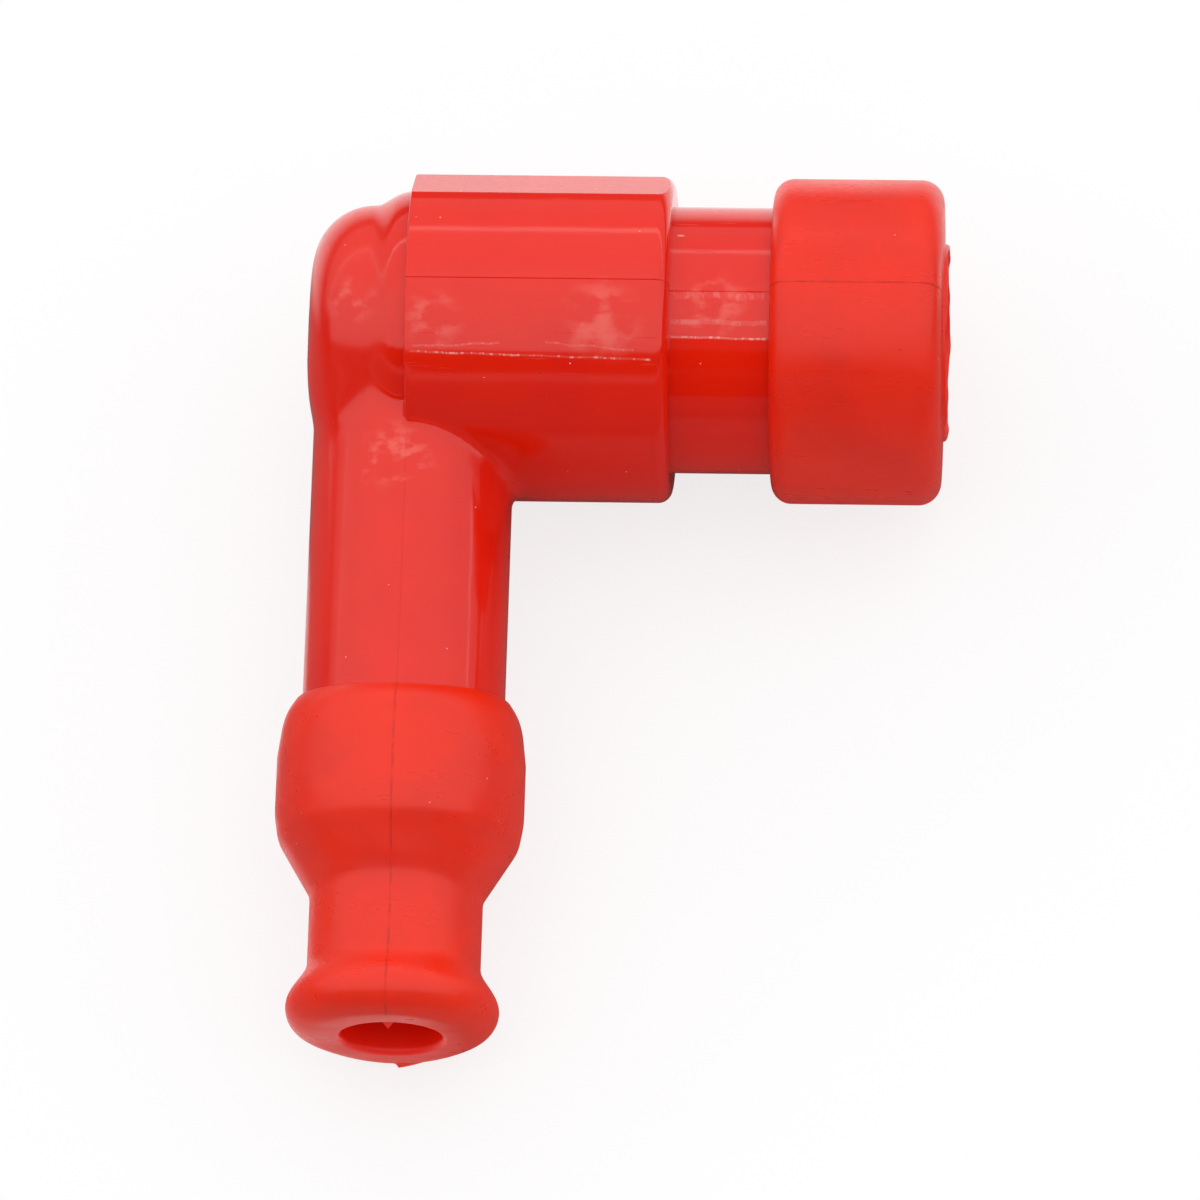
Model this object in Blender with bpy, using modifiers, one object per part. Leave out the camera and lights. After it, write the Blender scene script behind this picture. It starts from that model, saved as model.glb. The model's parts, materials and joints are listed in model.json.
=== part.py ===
"""Right-angle spark plug cap: a hard elbow body, two silicone ends and the contacts inside.

The wide arm takes the plug and runs along +X. The slender arm takes the lead and runs towards
-Y. The cap lies on a surface: the wide arm rests along its length and the slender arm droops
until its boot touches. The origin is at the middle of the bottom of the whole cap.
"""
import math

import bmesh
import bpy
import numpy as np
from mathutils import Matrix, Vector

MM = 0.001

# Wide arm, measured along its axis from the axis of the slender arm
DOME_BACK = -7.35 * MM
DOME_RADIUS = 9.18 * MM
DOME_CORNER = 4.25 * MM
DOME_CROWN = 0.1 * MM
RING_START = -2.27 * MM
RING_RADIUS = 10.26 * MM
RING_ROUND = 3.46 * MM
BARREL_START = -0.2 * MM
BARREL_END = 17.95 * MM
BARREL_CHAMFER = 0.8 * MM
BARREL_PROUD = 0.05 * MM
FLAT_EDGES = (41.0, 68.0, 112.0, 139.0)
NECK_RADIUS = 9.3 * MM
NECK_END = 33.0 * MM
NECK_RIDGE_START = 29.6 * MM
NECK_RIDGE_RISE = 0.45 * MM

# Seal on the mouth of the wide arm
SEAL_START = 24.9 * MM
SEAL_END = 36.75 * MM
SEAL_WALL = 1.3 * MM
SEAL_REAR_ROUND = 1.4 * MM
SEAL_FRONT_ROUND = 1.6 * MM
MOUTH_RIM_RADIUS = 6.95 * MM
MOUTH_RIM_WALL = 0.55 * MM
MOUTH_RIM_HEIGHT = 0.45 * MM
MOUTH_LIP_RADIUS = 5.6 * MM
MOUTH_LIP_BACK = 1.2 * MM
MOUTH_LIP_LENGTH = 0.6 * MM

# Slender arm, measured along its axis from the axis of the wide arm
TUBE_RADIUS = 7.0 * MM
TUBE_END = 37.2 * MM
BOOT_START = 27.55 * MM
BOOT_STEP = 0.5 * MM
BOOT_SHOULDER_WALL = 1.0 * MM
BOOT_SHOULDER_END = 29.3 * MM
BULGE_WALL = 1.28 * MM
BULGE_START = 31.6 * MM
BULGE_END = 35.7 * MM
BULGE_EDGE_DROP = 0.28 * MM
BULGE_EDGE_END = 37.4 * MM
BOOT_NECK_START = 41.4 * MM
BOOT_NECK_WALL = 2.35 * MM
BEAD_RISE = 1.37 * MM
BEAD_WIDEST = 49.45 * MM
BEAD_ROUND = 2.45 * MM
BEAD_END = 51.5 * MM
BEAD_FACE_WIDTH = 1.3 * MM
LEAD_HOLE_RADIUS = 3.45 * MM
LEAD_HOLE_ROUND = 0.45 * MM
LEAD_HOLE_LENGTH = 0.9 * MM
BOOT_BORE_RADIUS = 3.6 * MM

# Bores of the body
CONTACT_BORE_START = -3.9 * MM
NECK_WALL = 2.4 * MM
LEAD_BORE_START = 6.2 * MM
TUBE_WALL = 3.1 * MM

# Contacts inside the wide arm
BLOCK_RADIUS = 3.2 * MM
BLOCK_LENGTH = 6.2 * MM
SPRING_LENGTH = 2.6 * MM
SPRING_TURNS = 3.0
SPRING_WIRE = 0.3 * MM
RESISTOR_LENGTH = 6.5 * MM
RESISTOR_RADIUS = 2.55 * MM
RESISTOR_CAP_WALL = 0.35 * MM
RESISTOR_CAP_DEPTH = 1.9 * MM
TERMINAL_RADIUS = 4.5 * MM
TERMINAL_LENGTH = 7.6 * MM
TERMINAL_BASE = 1.8 * MM
TERMINAL_SOCKET_RADIUS = 3.2 * MM
TERMINAL_LEAD_IN = 0.4 * MM
CLIP_FROM_MOUTH = 2.3 * MM
CLIP_WIRE = 0.32 * MM
CLIP_GAP = 70.0

# Screw that holds the lead
SCREW_RADIUS = 1.5 * MM
SCREW_SEAT = 1.2 * MM
SCREW_POINT_START = 14.6 * MM
SCREW_END = 18.0 * MM
THREAD_PITCH = 1.25 * MM
THREAD_HEIGHT = 0.35 * MM
THREAD_FLANK = 0.225 * MM
THREAD_START = 7.6 * MM

CLEARANCE = 0.3 * MM
OVERLAP = 0.6 * MM

# Sizes that follow from what a piece sits on or in
PLUG_BORE_RADIUS = NECK_RADIUS - NECK_WALL
NECK_RIDGE_RADIUS = NECK_RADIUS + NECK_RIDGE_RISE
SEAL_RADIUS = NECK_RIDGE_RADIUS + CLEARANCE + SEAL_WALL
BARREL_RADIUS = SEAL_RADIUS + BARREL_PROUD
LEAD_BORE_RADIUS = TUBE_RADIUS - TUBE_WALL
BOOT_SHOULDER_RADIUS = TUBE_RADIUS + CLEARANCE + BOOT_SHOULDER_WALL
BULGE_RADIUS = TUBE_RADIUS + CLEARANCE + BULGE_WALL
BULGE_EDGE_RADIUS = BULGE_RADIUS - BULGE_EDGE_DROP
BOOT_NECK_RADIUS = BOOT_BORE_RADIUS + BOOT_NECK_WALL
BEAD_RADIUS = BOOT_NECK_RADIUS + BEAD_RISE
BEAD_FACE_RADIUS = LEAD_HOLE_RADIUS + LEAD_HOLE_ROUND + BEAD_FACE_WIDTH

# Steps of the round shapes
ROUND_STEPS = 48
SMALL_STEPS = 32
CORNER_POINTS = 4
ROUND_POINTS = 6
DOME_POINTS = 8
WIRE_STEPS = 16
CLIP_STEPS = 28
WELD = 0.002 * MM
SMOOTH_ANGLE = math.radians(32.0)
FLAT_ANGLE = math.radians(0.5)
WIRE_BEVEL = 2

RED_RESIN = (0.78, 0.035, 0.02)
RED_SILICONE = (0.80, 0.055, 0.03)
BRASS = (0.72, 0.52, 0.20)
STEEL = (0.62, 0.62, 0.63)
NICKEL = (0.66, 0.65, 0.62)
CERAMIC = (0.82, 0.80, 0.74)


def clear_scene():
    """Remove every object, so that the script can be run again in an open file."""
    for obj in list(bpy.data.objects):
        bpy.data.objects.remove(obj, do_unlink=True)


def make_collection(name):
    """Return a new collection linked to the scene."""
    collection = bpy.data.collections.new(name)
    bpy.context.scene.collection.children.link(collection)
    return collection


def make_material(name, colour, roughness, metallic=0.0):
    """Return a Principled material with one colour."""
    material = bpy.data.materials.new(name)
    material.use_nodes = True
    shader = material.node_tree.nodes["Principled BSDF"]
    shader.inputs["Base Color"].default_value = (*colour, 1.0)
    shader.inputs["Roughness"].default_value = roughness
    shader.inputs["Metallic"].default_value = metallic
    material.diffuse_color = (*colour, 1.0)
    return material


def arc(centre, radius, start, end, points=CORNER_POINTS):
    """Return points (axial, radial) on an arc, with angles from the +axial direction."""
    angles = np.radians(np.linspace(start, end, points))
    return [(centre[0] + radius * math.cos(a), centre[1] + radius * math.sin(a)) for a in angles]


def turned(name, outline, collection, material, steps=ROUND_STEPS, closed=True):
    """Turn an outline of (axial, radius) points round the local Z axis.

    The outline starts at the top of its outer side and runs down. A closed outline is a ring
    section. An open one starts and ends on the axis.
    """
    mesh = bpy.data.meshes.new(name)
    points = [(radius, 0.0, axial) for axial, radius in outline]
    edges = [(i, i + 1) for i in range(len(points) - 1)]
    if closed:
        edges.append((len(points) - 1, 0))
    mesh.from_pydata(points, edges, [])
    obj = bpy.data.objects.new(name, mesh)
    collection.objects.link(obj)
    obj.data.materials.append(material)
    screw = obj.modifiers.new("turn", "SCREW")
    screw.axis = "Z"
    screw.angle = math.tau
    screw.steps = steps
    screw.render_steps = steps
    screw.use_merge_vertices = True
    screw.merge_threshold = WELD
    return obj


def freeze(obj):
    """Replace an object's mesh with its evaluated mesh, its doubles merged and shaded smooth."""
    bpy.context.view_layer.update()
    graph = bpy.context.evaluated_depsgraph_get()
    mesh = bpy.data.meshes.new_from_object(obj.evaluated_get(graph))
    work = bmesh.new()
    work.from_mesh(mesh)
    bmesh.ops.remove_doubles(work, verts=work.verts, dist=WELD)
    work.to_mesh(mesh)
    work.free()
    mesh.shade_smooth()
    mesh.set_sharp_from_angle(angle=SMOOTH_ANGLE)
    obj.modifiers.clear()
    obj.data = mesh
    return obj


def curve_to_mesh(curve_object, collection, material):
    """Return a welded mesh object of a curve object, which is removed."""
    bpy.context.view_layer.update()
    graph = bpy.context.evaluated_depsgraph_get()
    mesh = bpy.data.meshes.new_from_object(curve_object.evaluated_get(graph))
    work = bmesh.new()
    work.from_mesh(mesh)
    bmesh.ops.remove_doubles(work, verts=work.verts, dist=WELD)
    work.to_mesh(mesh)
    work.free()
    name = curve_object.name
    matrix = curve_object.matrix_world.copy()
    bpy.data.objects.remove(curve_object, do_unlink=True)
    obj = bpy.data.objects.new(name, mesh)
    obj.matrix_world = matrix
    collection.objects.link(obj)
    mesh.materials.clear()
    mesh.materials.append(material)
    return obj


def along_plug(obj, frame):
    """Point an object's local Z along the wide arm, towards the mouth."""
    obj.parent = frame
    obj.rotation_euler = (0.0, math.radians(90.0), 0.0)


def along_lead(obj, frame):
    """Point an object's local Z along the slender arm, towards the lead."""
    obj.parent = frame
    obj.rotation_euler = (math.radians(90.0), 0.0, 0.0)


def combine(target, tool, operation):
    """Add a Boolean with the EXACT solver and make the tool a guide."""
    tool.hide_render = True
    tool.display_type = "WIRE"
    boolean = target.modifiers.new(tool.name, "BOOLEAN")
    boolean.operation = operation
    boolean.solver = "EXACT"
    boolean.object = tool


def dome_outline():
    """Return the outer outline of the wide arm's core, from the mouth end to the dome's back."""
    outline = [(NECK_END, 0.0), (NECK_END, NECK_RADIUS)]
    outline += [(NECK_END - NECK_RIDGE_RISE, NECK_RIDGE_RADIUS)]
    outline += [(NECK_RIDGE_START, NECK_RIDGE_RADIUS)]
    outline += [(NECK_RIDGE_START, NECK_RADIUS)]
    outline += [(BARREL_END - OVERLAP, NECK_RADIUS)]
    outline += [(BARREL_START + OVERLAP, RING_RADIUS)]
    ring_end = math.degrees(math.acos(RING_START / RING_ROUND))
    outline += arc((0.0, RING_RADIUS - RING_ROUND), RING_ROUND, 95.0, ring_end)
    outline += [(RING_START - CLEARANCE, DOME_RADIUS)]
    corner_centre = (DOME_BACK + DOME_CROWN + DOME_CORNER, DOME_RADIUS - DOME_CORNER)
    outline += arc(corner_centre, DOME_CORNER, 90.0, 176.0, DOME_POINTS)
    outline += [(DOME_BACK, 0.0)]
    return outline


def barrel_section():
    """Return the barrel's section as (x, y) points, with gripping flats on its back."""
    step = 360.0 / ROUND_STEPS
    start, end = FLAT_EDGES[0], FLAT_EDGES[-1]
    turn = 360.0 - (end - start)
    count = int(round(turn / step))
    angles = [end + turn * i / count for i in range(count + 1)]
    angles += list(FLAT_EDGES[1:-1])
    points = []
    for angle in angles:
        radians = math.radians(angle)
        points.append((-BARREL_RADIUS * math.cos(radians), BARREL_RADIUS * math.sin(radians)))
    return points


def make_barrel(guides, material, frame):
    """Return the barrel as a prism with a chamfer at its neck end."""
    half = (BARREL_END - BARREL_START) / 2.0
    curve = bpy.data.curves.new("barrel", "CURVE")
    curve.dimensions = "2D"
    curve.fill_mode = "BOTH"
    curve.extrude = half
    section = barrel_section()
    spline = curve.splines.new("POLY")
    spline.points.add(len(section) - 1)
    for point, (x, y) in zip(spline.points, section):
        point.co = (x, y, 0.0, 1.0)
    spline.use_cyclic_u = True
    outline = bpy.data.objects.new("barrel", curve)
    guides.objects.link(outline)
    barrel = curve_to_mesh(outline, guides, material)
    work = bmesh.new()
    work.from_mesh(barrel.data)
    bmesh.ops.translate(work, verts=work.verts, vec=(0.0, 0.0, BARREL_START + half))
    bmesh.ops.dissolve_limit(work, angle_limit=FLAT_ANGLE, verts=work.verts, edges=work.edges)
    rim = []
    for edge in work.edges:
        if all(vert.co.z > BARREL_END - CLEARANCE for vert in edge.verts):
            rim.append(edge)
    bmesh.ops.bevel(work, geom=rim, offset=BARREL_CHAMFER, segments=1, affect="EDGES")
    bmesh.ops.recalc_face_normals(work, faces=work.faces)
    work.to_mesh(barrel.data)
    work.free()
    along_plug(barrel, frame)
    return barrel


def tube_outline():
    """Return the outer outline of the lead tube, from its open end to its root."""
    rounding = CLEARANCE
    outline = [(TUBE_END, 0.0), (TUBE_END, TUBE_RADIUS - rounding)]
    outline += [(TUBE_END - rounding, TUBE_RADIUS)]
    outline += [(0.0, TUBE_RADIUS), (0.0, 0.0)]
    return outline


def plug_cavity_outline():
    """Return the stepped bore that holds the contacts and takes the plug."""
    contact = BLOCK_RADIUS + CLEARANCE
    terminal = TERMINAL_RADIUS + CLEARANCE
    terminal_seat = terminal_start() - CLEARANCE
    terminal_mouth = terminal_start() + TERMINAL_LENGTH
    outline = [(NECK_END + OVERLAP, 0.0), (NECK_END + OVERLAP, PLUG_BORE_RADIUS)]
    outline += [(terminal_mouth, PLUG_BORE_RADIUS), (terminal_mouth, terminal)]
    outline += [(terminal_seat, terminal), (terminal_seat, contact)]
    outline += [(CONTACT_BORE_START, contact), (CONTACT_BORE_START, 0.0)]
    return outline


def lead_cavity_outline():
    """Return the bore that takes the lead, with the narrow passage for the screw."""
    passage = SCREW_RADIUS + CLEARANCE
    outline = [(TUBE_END + OVERLAP, 0.0), (TUBE_END + OVERLAP, LEAD_BORE_RADIUS)]
    outline += [(LEAD_BORE_START, LEAD_BORE_RADIUS), (LEAD_BORE_START, passage)]
    outline += [(0.0, passage), (0.0, 0.0)]
    return outline


def block_end():
    """Return where the contact block ends along the wide arm."""
    return CONTACT_BORE_START + CLEARANCE + BLOCK_LENGTH


def resistor_start():
    """Return where the resistor's rear cap starts, past the spring."""
    return block_end() + 2.0 * CLEARANCE + SPRING_LENGTH


def terminal_start():
    """Return where the brass socket starts, past the resistor's front cap."""
    caps = 2.0 * (RESISTOR_CAP_WALL + CLEARANCE)
    return resistor_start() + RESISTOR_LENGTH + caps + CLEARANCE


def make_cap_body(parts, guides, frame):
    """Make the elbow moulding with its bores."""
    material = make_material("red_resin", RED_RESIN, 0.16)
    body = turned("cap_body", dome_outline(), parts, material, closed=False)
    along_plug(body, frame)
    barrel = make_barrel(guides, material, frame)
    combine(body, barrel, "UNION")
    tube = turned("lead_tube", tube_outline(), guides, material, closed=False)
    along_lead(freeze(tube), frame)
    combine(body, tube, "UNION")
    plug_cavity = turned("plug_cavity", plug_cavity_outline(), guides, material, closed=False)
    along_plug(freeze(plug_cavity), frame)
    combine(body, plug_cavity, "DIFFERENCE")
    lead_cavity = turned("lead_cavity", lead_cavity_outline(), guides, material, closed=False)
    along_lead(freeze(lead_cavity), frame)
    combine(body, lead_cavity, "DIFFERENCE")
    return freeze(body)


def seal_outline():
    """Return the section of the silicone collar on the plug's mouth."""
    front_centre = (SEAL_END - SEAL_FRONT_ROUND, SEAL_RADIUS - SEAL_FRONT_ROUND)
    rear_centre = (SEAL_START + SEAL_REAR_ROUND, SEAL_RADIUS - SEAL_REAR_ROUND)
    outline = arc(front_centre, SEAL_FRONT_ROUND, 0.0, 90.0, ROUND_POINTS)
    outline += arc(rear_centre, SEAL_REAR_ROUND, 90.0, 180.0, ROUND_POINTS)
    neck = NECK_RADIUS + CLEARANCE
    ridge = NECK_RIDGE_RADIUS + CLEARANCE
    outline += [(SEAL_START, neck), (NECK_RIDGE_START - CLEARANCE, neck)]
    outline += [(NECK_RIDGE_START - CLEARANCE, ridge), (NECK_END + CLEARANCE, ridge)]
    lip = SEAL_END - MOUTH_LIP_BACK
    outline += [(NECK_END + CLEARANCE, PLUG_BORE_RADIUS)]
    outline += [(lip - MOUTH_LIP_LENGTH, MOUTH_LIP_RADIUS), (lip, MOUTH_LIP_RADIUS)]
    rim_top = SEAL_END + MOUTH_RIM_HEIGHT
    rim_inside = MOUTH_RIM_RADIUS - MOUTH_RIM_WALL
    rim_draft = MOUTH_RIM_WALL / 4.0
    outline += [(SEAL_END, rim_inside), (rim_top, rim_inside + rim_draft)]
    outline += [(rim_top, MOUTH_RIM_RADIUS - rim_draft), (SEAL_END, MOUTH_RIM_RADIUS)]
    return outline


def make_plug_seal(parts, frame):
    """Make the silicone collar that seals on the plug's insulator."""
    material = make_material("red_silicone_seal", RED_SILICONE, 0.45)
    seal = turned("plug_seal", seal_outline(), parts, material)
    along_plug(seal, frame)
    return freeze(seal)


def boot_outer():
    """Return the boot's outer outline, from its beaded end to its edge on the tube."""
    face_depth = BEAD_END - BEAD_WIDEST
    rise = BEAD_RADIUS - BEAD_FACE_RADIUS
    bead_front = []
    for degrees in np.linspace(0.0, 90.0, ROUND_POINTS):
        angle = math.radians(degrees)
        axial = BEAD_WIDEST + face_depth * math.cos(angle)
        bead_front.append((axial, BEAD_FACE_RADIUS + rise * math.sin(angle)))
    bead_centre = (BEAD_WIDEST, BEAD_RADIUS - BEAD_ROUND)
    neck_angle = 180.0 - math.degrees(math.asin((BOOT_NECK_RADIUS - bead_centre[1]) / BEAD_ROUND))
    outline = bead_front + arc(bead_centre, BEAD_ROUND, 102.0, neck_angle, ROUND_POINTS)
    outline += [(BOOT_NECK_START, BOOT_NECK_RADIUS)]
    outline += [(BULGE_EDGE_END, BULGE_EDGE_RADIUS)]
    outline += [((BULGE_EDGE_END + BULGE_END) / 2.0, (BULGE_EDGE_RADIUS + BULGE_RADIUS) / 2.0)]
    outline += [(BULGE_END, BULGE_RADIUS), (BULGE_START, BULGE_RADIUS)]
    outline += [(BOOT_SHOULDER_END, BOOT_SHOULDER_RADIUS)]
    shoulder = (BOOT_START + BOOT_SHOULDER_END) / 2.0
    outline += [(shoulder, (BOOT_SHOULDER_RADIUS * 2.0 + TUBE_RADIUS + BOOT_STEP) / 3.0)]
    outline += [(BOOT_START, TUBE_RADIUS + BOOT_STEP)]
    return outline


def boot_outline():
    """Return the whole section of the silicone boot."""
    outline = boot_outer()
    tube = TUBE_RADIUS + CLEARANCE
    bore = BOOT_BORE_RADIUS
    outline += [(BOOT_START, tube), (TUBE_END + CLEARANCE, tube)]
    outline += [(TUBE_END + CLEARANCE, LEAD_BORE_RADIUS)]
    outline += [(BOOT_NECK_START, bore), (BEAD_END - LEAD_HOLE_LENGTH, LEAD_HOLE_RADIUS)]
    hole_centre = (BEAD_END - LEAD_HOLE_ROUND, LEAD_HOLE_RADIUS + LEAD_HOLE_ROUND)
    outline += arc(hole_centre, LEAD_HOLE_ROUND, 270.0, 360.0)
    return outline


def make_cable_boot(parts, frame):
    """Make the silicone boot that seals on the lead."""
    material = make_material("red_silicone_boot", RED_SILICONE, 0.45)
    boot = turned("cable_boot", boot_outline(), parts, material)
    along_lead(boot, frame)
    return freeze(boot)


def make_contact_block(parts, guides, frame):
    """Make the brass block in the elbow, bored for the screw."""
    material = make_material("block_brass", BRASS, 0.32, 1.0)
    start = CONTACT_BORE_START + CLEARANCE
    end = block_end()
    chamfer = CLEARANCE
    outline = [(end, 0.0), (end, BLOCK_RADIUS - chamfer), (end - chamfer, BLOCK_RADIUS)]
    outline += [(start + chamfer, BLOCK_RADIUS), (start, BLOCK_RADIUS - chamfer), (start, 0.0)]
    block = turned("contact_block", outline, parts, material, SMALL_STEPS, closed=False)
    along_plug(block, frame)
    hole_radius = SCREW_RADIUS + CLEARANCE
    hole = [(BLOCK_RADIUS + OVERLAP, 0.0), (BLOCK_RADIUS + OVERLAP, hole_radius)]
    hole += [(-SCREW_SEAT - CLEARANCE, hole_radius), (-SCREW_SEAT - CLEARANCE, 0.0)]
    cutter = turned("screw_hole", hole, guides, material, SMALL_STEPS, closed=False)
    along_lead(freeze(cutter), frame)
    combine(block, cutter, "DIFFERENCE")
    return freeze(block)


def screw_outline():
    """Return the screw's outline, with its point first and a ridge for each thread turn."""
    outline = [(SCREW_END, 0.0)]
    turns = int((SCREW_END - THREAD_START) / THREAD_PITCH)
    taper_length = SCREW_END - SCREW_POINT_START
    for turn in range(turns, 0, -1):
        crest = THREAD_START + turn * THREAD_PITCH - THREAD_PITCH / 2.0
        core = SCREW_RADIUS - THREAD_HEIGHT
        if crest > SCREW_POINT_START:
            core *= (SCREW_END - crest) / taper_length
        outline.append((crest + THREAD_FLANK, core))
        outline.append((crest, core + THREAD_HEIGHT))
        outline.append((crest - THREAD_FLANK, core))
    outline += [(THREAD_START, SCREW_RADIUS), (-SCREW_SEAT, SCREW_RADIUS), (-SCREW_SEAT, 0.0)]
    return outline


def make_cable_screw(parts, frame):
    """Make the pointed screw that the lead is turned on to."""
    material = make_material("screw_steel", STEEL, 0.28, 1.0)
    screw = turned("cable_screw", screw_outline(), parts, material, SMALL_STEPS, closed=False)
    along_lead(screw, frame)
    return freeze(screw)


def make_contact_spring(parts, guides, frame):
    """Make the coil spring between the block and the resistor."""
    material = make_material("spring_steel", STEEL, 0.25, 1.0)
    curve = bpy.data.curves.new("contact_spring", "CURVE")
    curve.dimensions = "3D"
    curve.bevel_depth = SPRING_WIRE
    curve.bevel_resolution = WIRE_BEVEL
    curve.use_fill_caps = True
    radius = BLOCK_RADIUS - 2.0 * SPRING_WIRE
    start = block_end() + CLEARANCE + SPRING_WIRE
    rise = SPRING_LENGTH - 2.0 * SPRING_WIRE
    count = int(SPRING_TURNS * WIRE_STEPS)
    spline = curve.splines.new("POLY")
    spline.points.add(count)
    for i, point in enumerate(spline.points):
        share = i / count
        angle = share * SPRING_TURNS * math.tau
        point.co = (radius * math.cos(angle), radius * math.sin(angle), start + rise * share, 1.0)
    wire = bpy.data.objects.new("contact_spring", curve)
    guides.objects.link(wire)
    spring = curve_to_mesh(wire, parts, material)
    along_plug(spring, frame)
    spring.data.shade_smooth()
    return spring


def make_resistor(parts, frame):
    """Make the ceramic rod and its two metal end caps."""
    ceramic = make_material("resistor_ceramic", CERAMIC, 0.5)
    start = resistor_start() + RESISTOR_CAP_WALL + CLEARANCE
    end = start + RESISTOR_LENGTH
    chamfer = CLEARANCE
    outline = [(end, 0.0), (end, RESISTOR_RADIUS - chamfer), (end - chamfer, RESISTOR_RADIUS)]
    outline += [(start + chamfer, RESISTOR_RADIUS), (start, RESISTOR_RADIUS - chamfer)]
    outline += [(start, 0.0)]
    rod = turned("resistor_rod", outline, parts, ceramic, SMALL_STEPS, closed=False)
    along_plug(rod, frame)
    freeze(rod)
    inner = RESISTOR_RADIUS + CLEARANCE
    outer = inner + RESISTOR_CAP_WALL
    front_base = end + CLEARANCE
    front = [(front_base + RESISTOR_CAP_WALL, 0.0), (front_base + RESISTOR_CAP_WALL, outer)]
    front += [(end - RESISTOR_CAP_DEPTH, outer), (end - RESISTOR_CAP_DEPTH, inner)]
    front += [(front_base, inner), (front_base, 0.0)]
    rear_base = start - CLEARANCE
    rear = [(rear_base, 0.0), (rear_base, inner), (start + RESISTOR_CAP_DEPTH, inner)]
    rear += [(start + RESISTOR_CAP_DEPTH, outer), (rear_base - RESISTOR_CAP_WALL, outer)]
    rear += [(rear_base - RESISTOR_CAP_WALL, 0.0)]
    for name, section in (("resistor_front_cap", front), ("resistor_rear_cap", rear)):
        nickel = make_material(name + "_nickel", NICKEL, 0.3, 1.0)
        cap = turned(name, section, parts, nickel, SMALL_STEPS, closed=False)
        along_plug(cap, frame)
        freeze(cap)


def make_plug_terminal(parts, frame):
    """Make the brass socket, with the groove for its clip."""
    material = make_material("terminal_brass", BRASS, 0.28, 1.0)
    start = terminal_start()
    end = start + TERMINAL_LENGTH
    clip = end - CLIP_FROM_MOUTH
    floor = TERMINAL_RADIUS - 2.0 * CLIP_WIRE - CLEARANCE
    half = CLIP_WIRE + CLEARANCE
    bevel = TERMINAL_LEAD_IN
    outline = [(end, TERMINAL_SOCKET_RADIUS + bevel), (end, TERMINAL_RADIUS - bevel)]
    outline += [(end - bevel, TERMINAL_RADIUS), (clip + half, TERMINAL_RADIUS)]
    outline += [(clip + half, floor), (clip - half, floor), (clip - half, TERMINAL_RADIUS)]
    outline += [(start + bevel, TERMINAL_RADIUS), (start, TERMINAL_RADIUS - bevel), (start, 0.0)]
    base = start + TERMINAL_BASE
    bore = [(base, 0.0), (base + TERMINAL_SOCKET_RADIUS / 4.0, TERMINAL_SOCKET_RADIUS)]
    bore += [(end - bevel, TERMINAL_SOCKET_RADIUS)]
    outline = outline + bore
    terminal = turned("plug_terminal", rotate_start(outline), parts, material, closed=False)
    along_plug(terminal, frame)
    return freeze(terminal)


def rotate_start(outline):
    """Return an outline that starts and ends on the axis: the bore comes first, then outside."""
    on_axis = [i for i, (axial, radius) in enumerate(outline) if radius == 0.0]
    last = on_axis[-1]
    return outline[last:] + outline[:last]


def make_terminal_clip(parts, guides, frame):
    """Make the open wire ring in the socket's groove."""
    material = make_material("clip_steel", STEEL, 0.22, 1.0)
    curve = bpy.data.curves.new("terminal_clip", "CURVE")
    curve.dimensions = "3D"
    curve.bevel_depth = CLIP_WIRE
    curve.bevel_resolution = WIRE_BEVEL
    curve.use_fill_caps = True
    radius = TERMINAL_RADIUS - CLIP_WIRE
    axial = terminal_start() + TERMINAL_LENGTH - CLIP_FROM_MOUTH
    spline = curve.splines.new("POLY")
    spline.points.add(CLIP_STEPS)
    for i, point in enumerate(spline.points):
        angle = math.radians(CLIP_GAP / 2.0 + (360.0 - CLIP_GAP) * i / CLIP_STEPS)
        point.co = (radius * math.cos(angle), radius * math.sin(angle), axial, 1.0)
    wire = bpy.data.objects.new("terminal_clip", curve)
    guides.objects.link(wire)
    clip = curve_to_mesh(wire, parts, material)
    along_plug(clip, frame)
    clip.data.shade_smooth()
    return clip


def rest_height():
    """Return the height of the wide arm's axis above the surface."""
    return max(BARREL_RADIUS, SEAL_RADIUS)


def droop_angle():
    """Return how far the slender arm tips down before its boot touches the surface."""
    height = rest_height()
    angles = []
    for axial, radius in boot_outer():
        reach = math.hypot(axial, radius)
        if axial > 0.0 and reach > height:
            angles.append(math.asin(height / reach) - math.atan2(radius, axial))
    return min(angles)


def lay_matrix():
    """Return the place of the elbow's own axes in the cap's frame."""
    droop = droop_angle()
    reach = max(a * math.cos(droop) + r * math.sin(droop) for a, r in boot_outer())
    back = max(SEAL_RADIUS, BARREL_RADIUS * math.sin(math.radians(FLAT_EDGES[1]) + droop))
    mouth_end = SEAL_END + MOUTH_RIM_HEIGHT
    middle_x = (mouth_end - max(-DOME_BACK, BULGE_RADIUS)) / 2.0
    middle_y = (back - reach) / 2.0
    place = Matrix.Translation(Vector((-middle_x, -middle_y, rest_height())))
    return place @ Matrix.Rotation(droop, 4, "X")


def main():
    """Build the whole cap."""
    clear_scene()
    parts = make_collection("spark_plug_cap")
    guides = make_collection("guides")
    frame = bpy.data.objects.new("elbow_axes", None)
    parts.objects.link(frame)
    frame.matrix_world = lay_matrix()
    make_cap_body(parts, guides, frame)
    make_plug_seal(parts, frame)
    make_cable_boot(parts, frame)
    make_plug_terminal(parts, frame)
    make_terminal_clip(parts, guides, frame)
    make_resistor(parts, frame)
    make_contact_spring(parts, guides, frame)
    make_contact_block(parts, guides, frame)
    make_cable_screw(parts, frame)


main()
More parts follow.
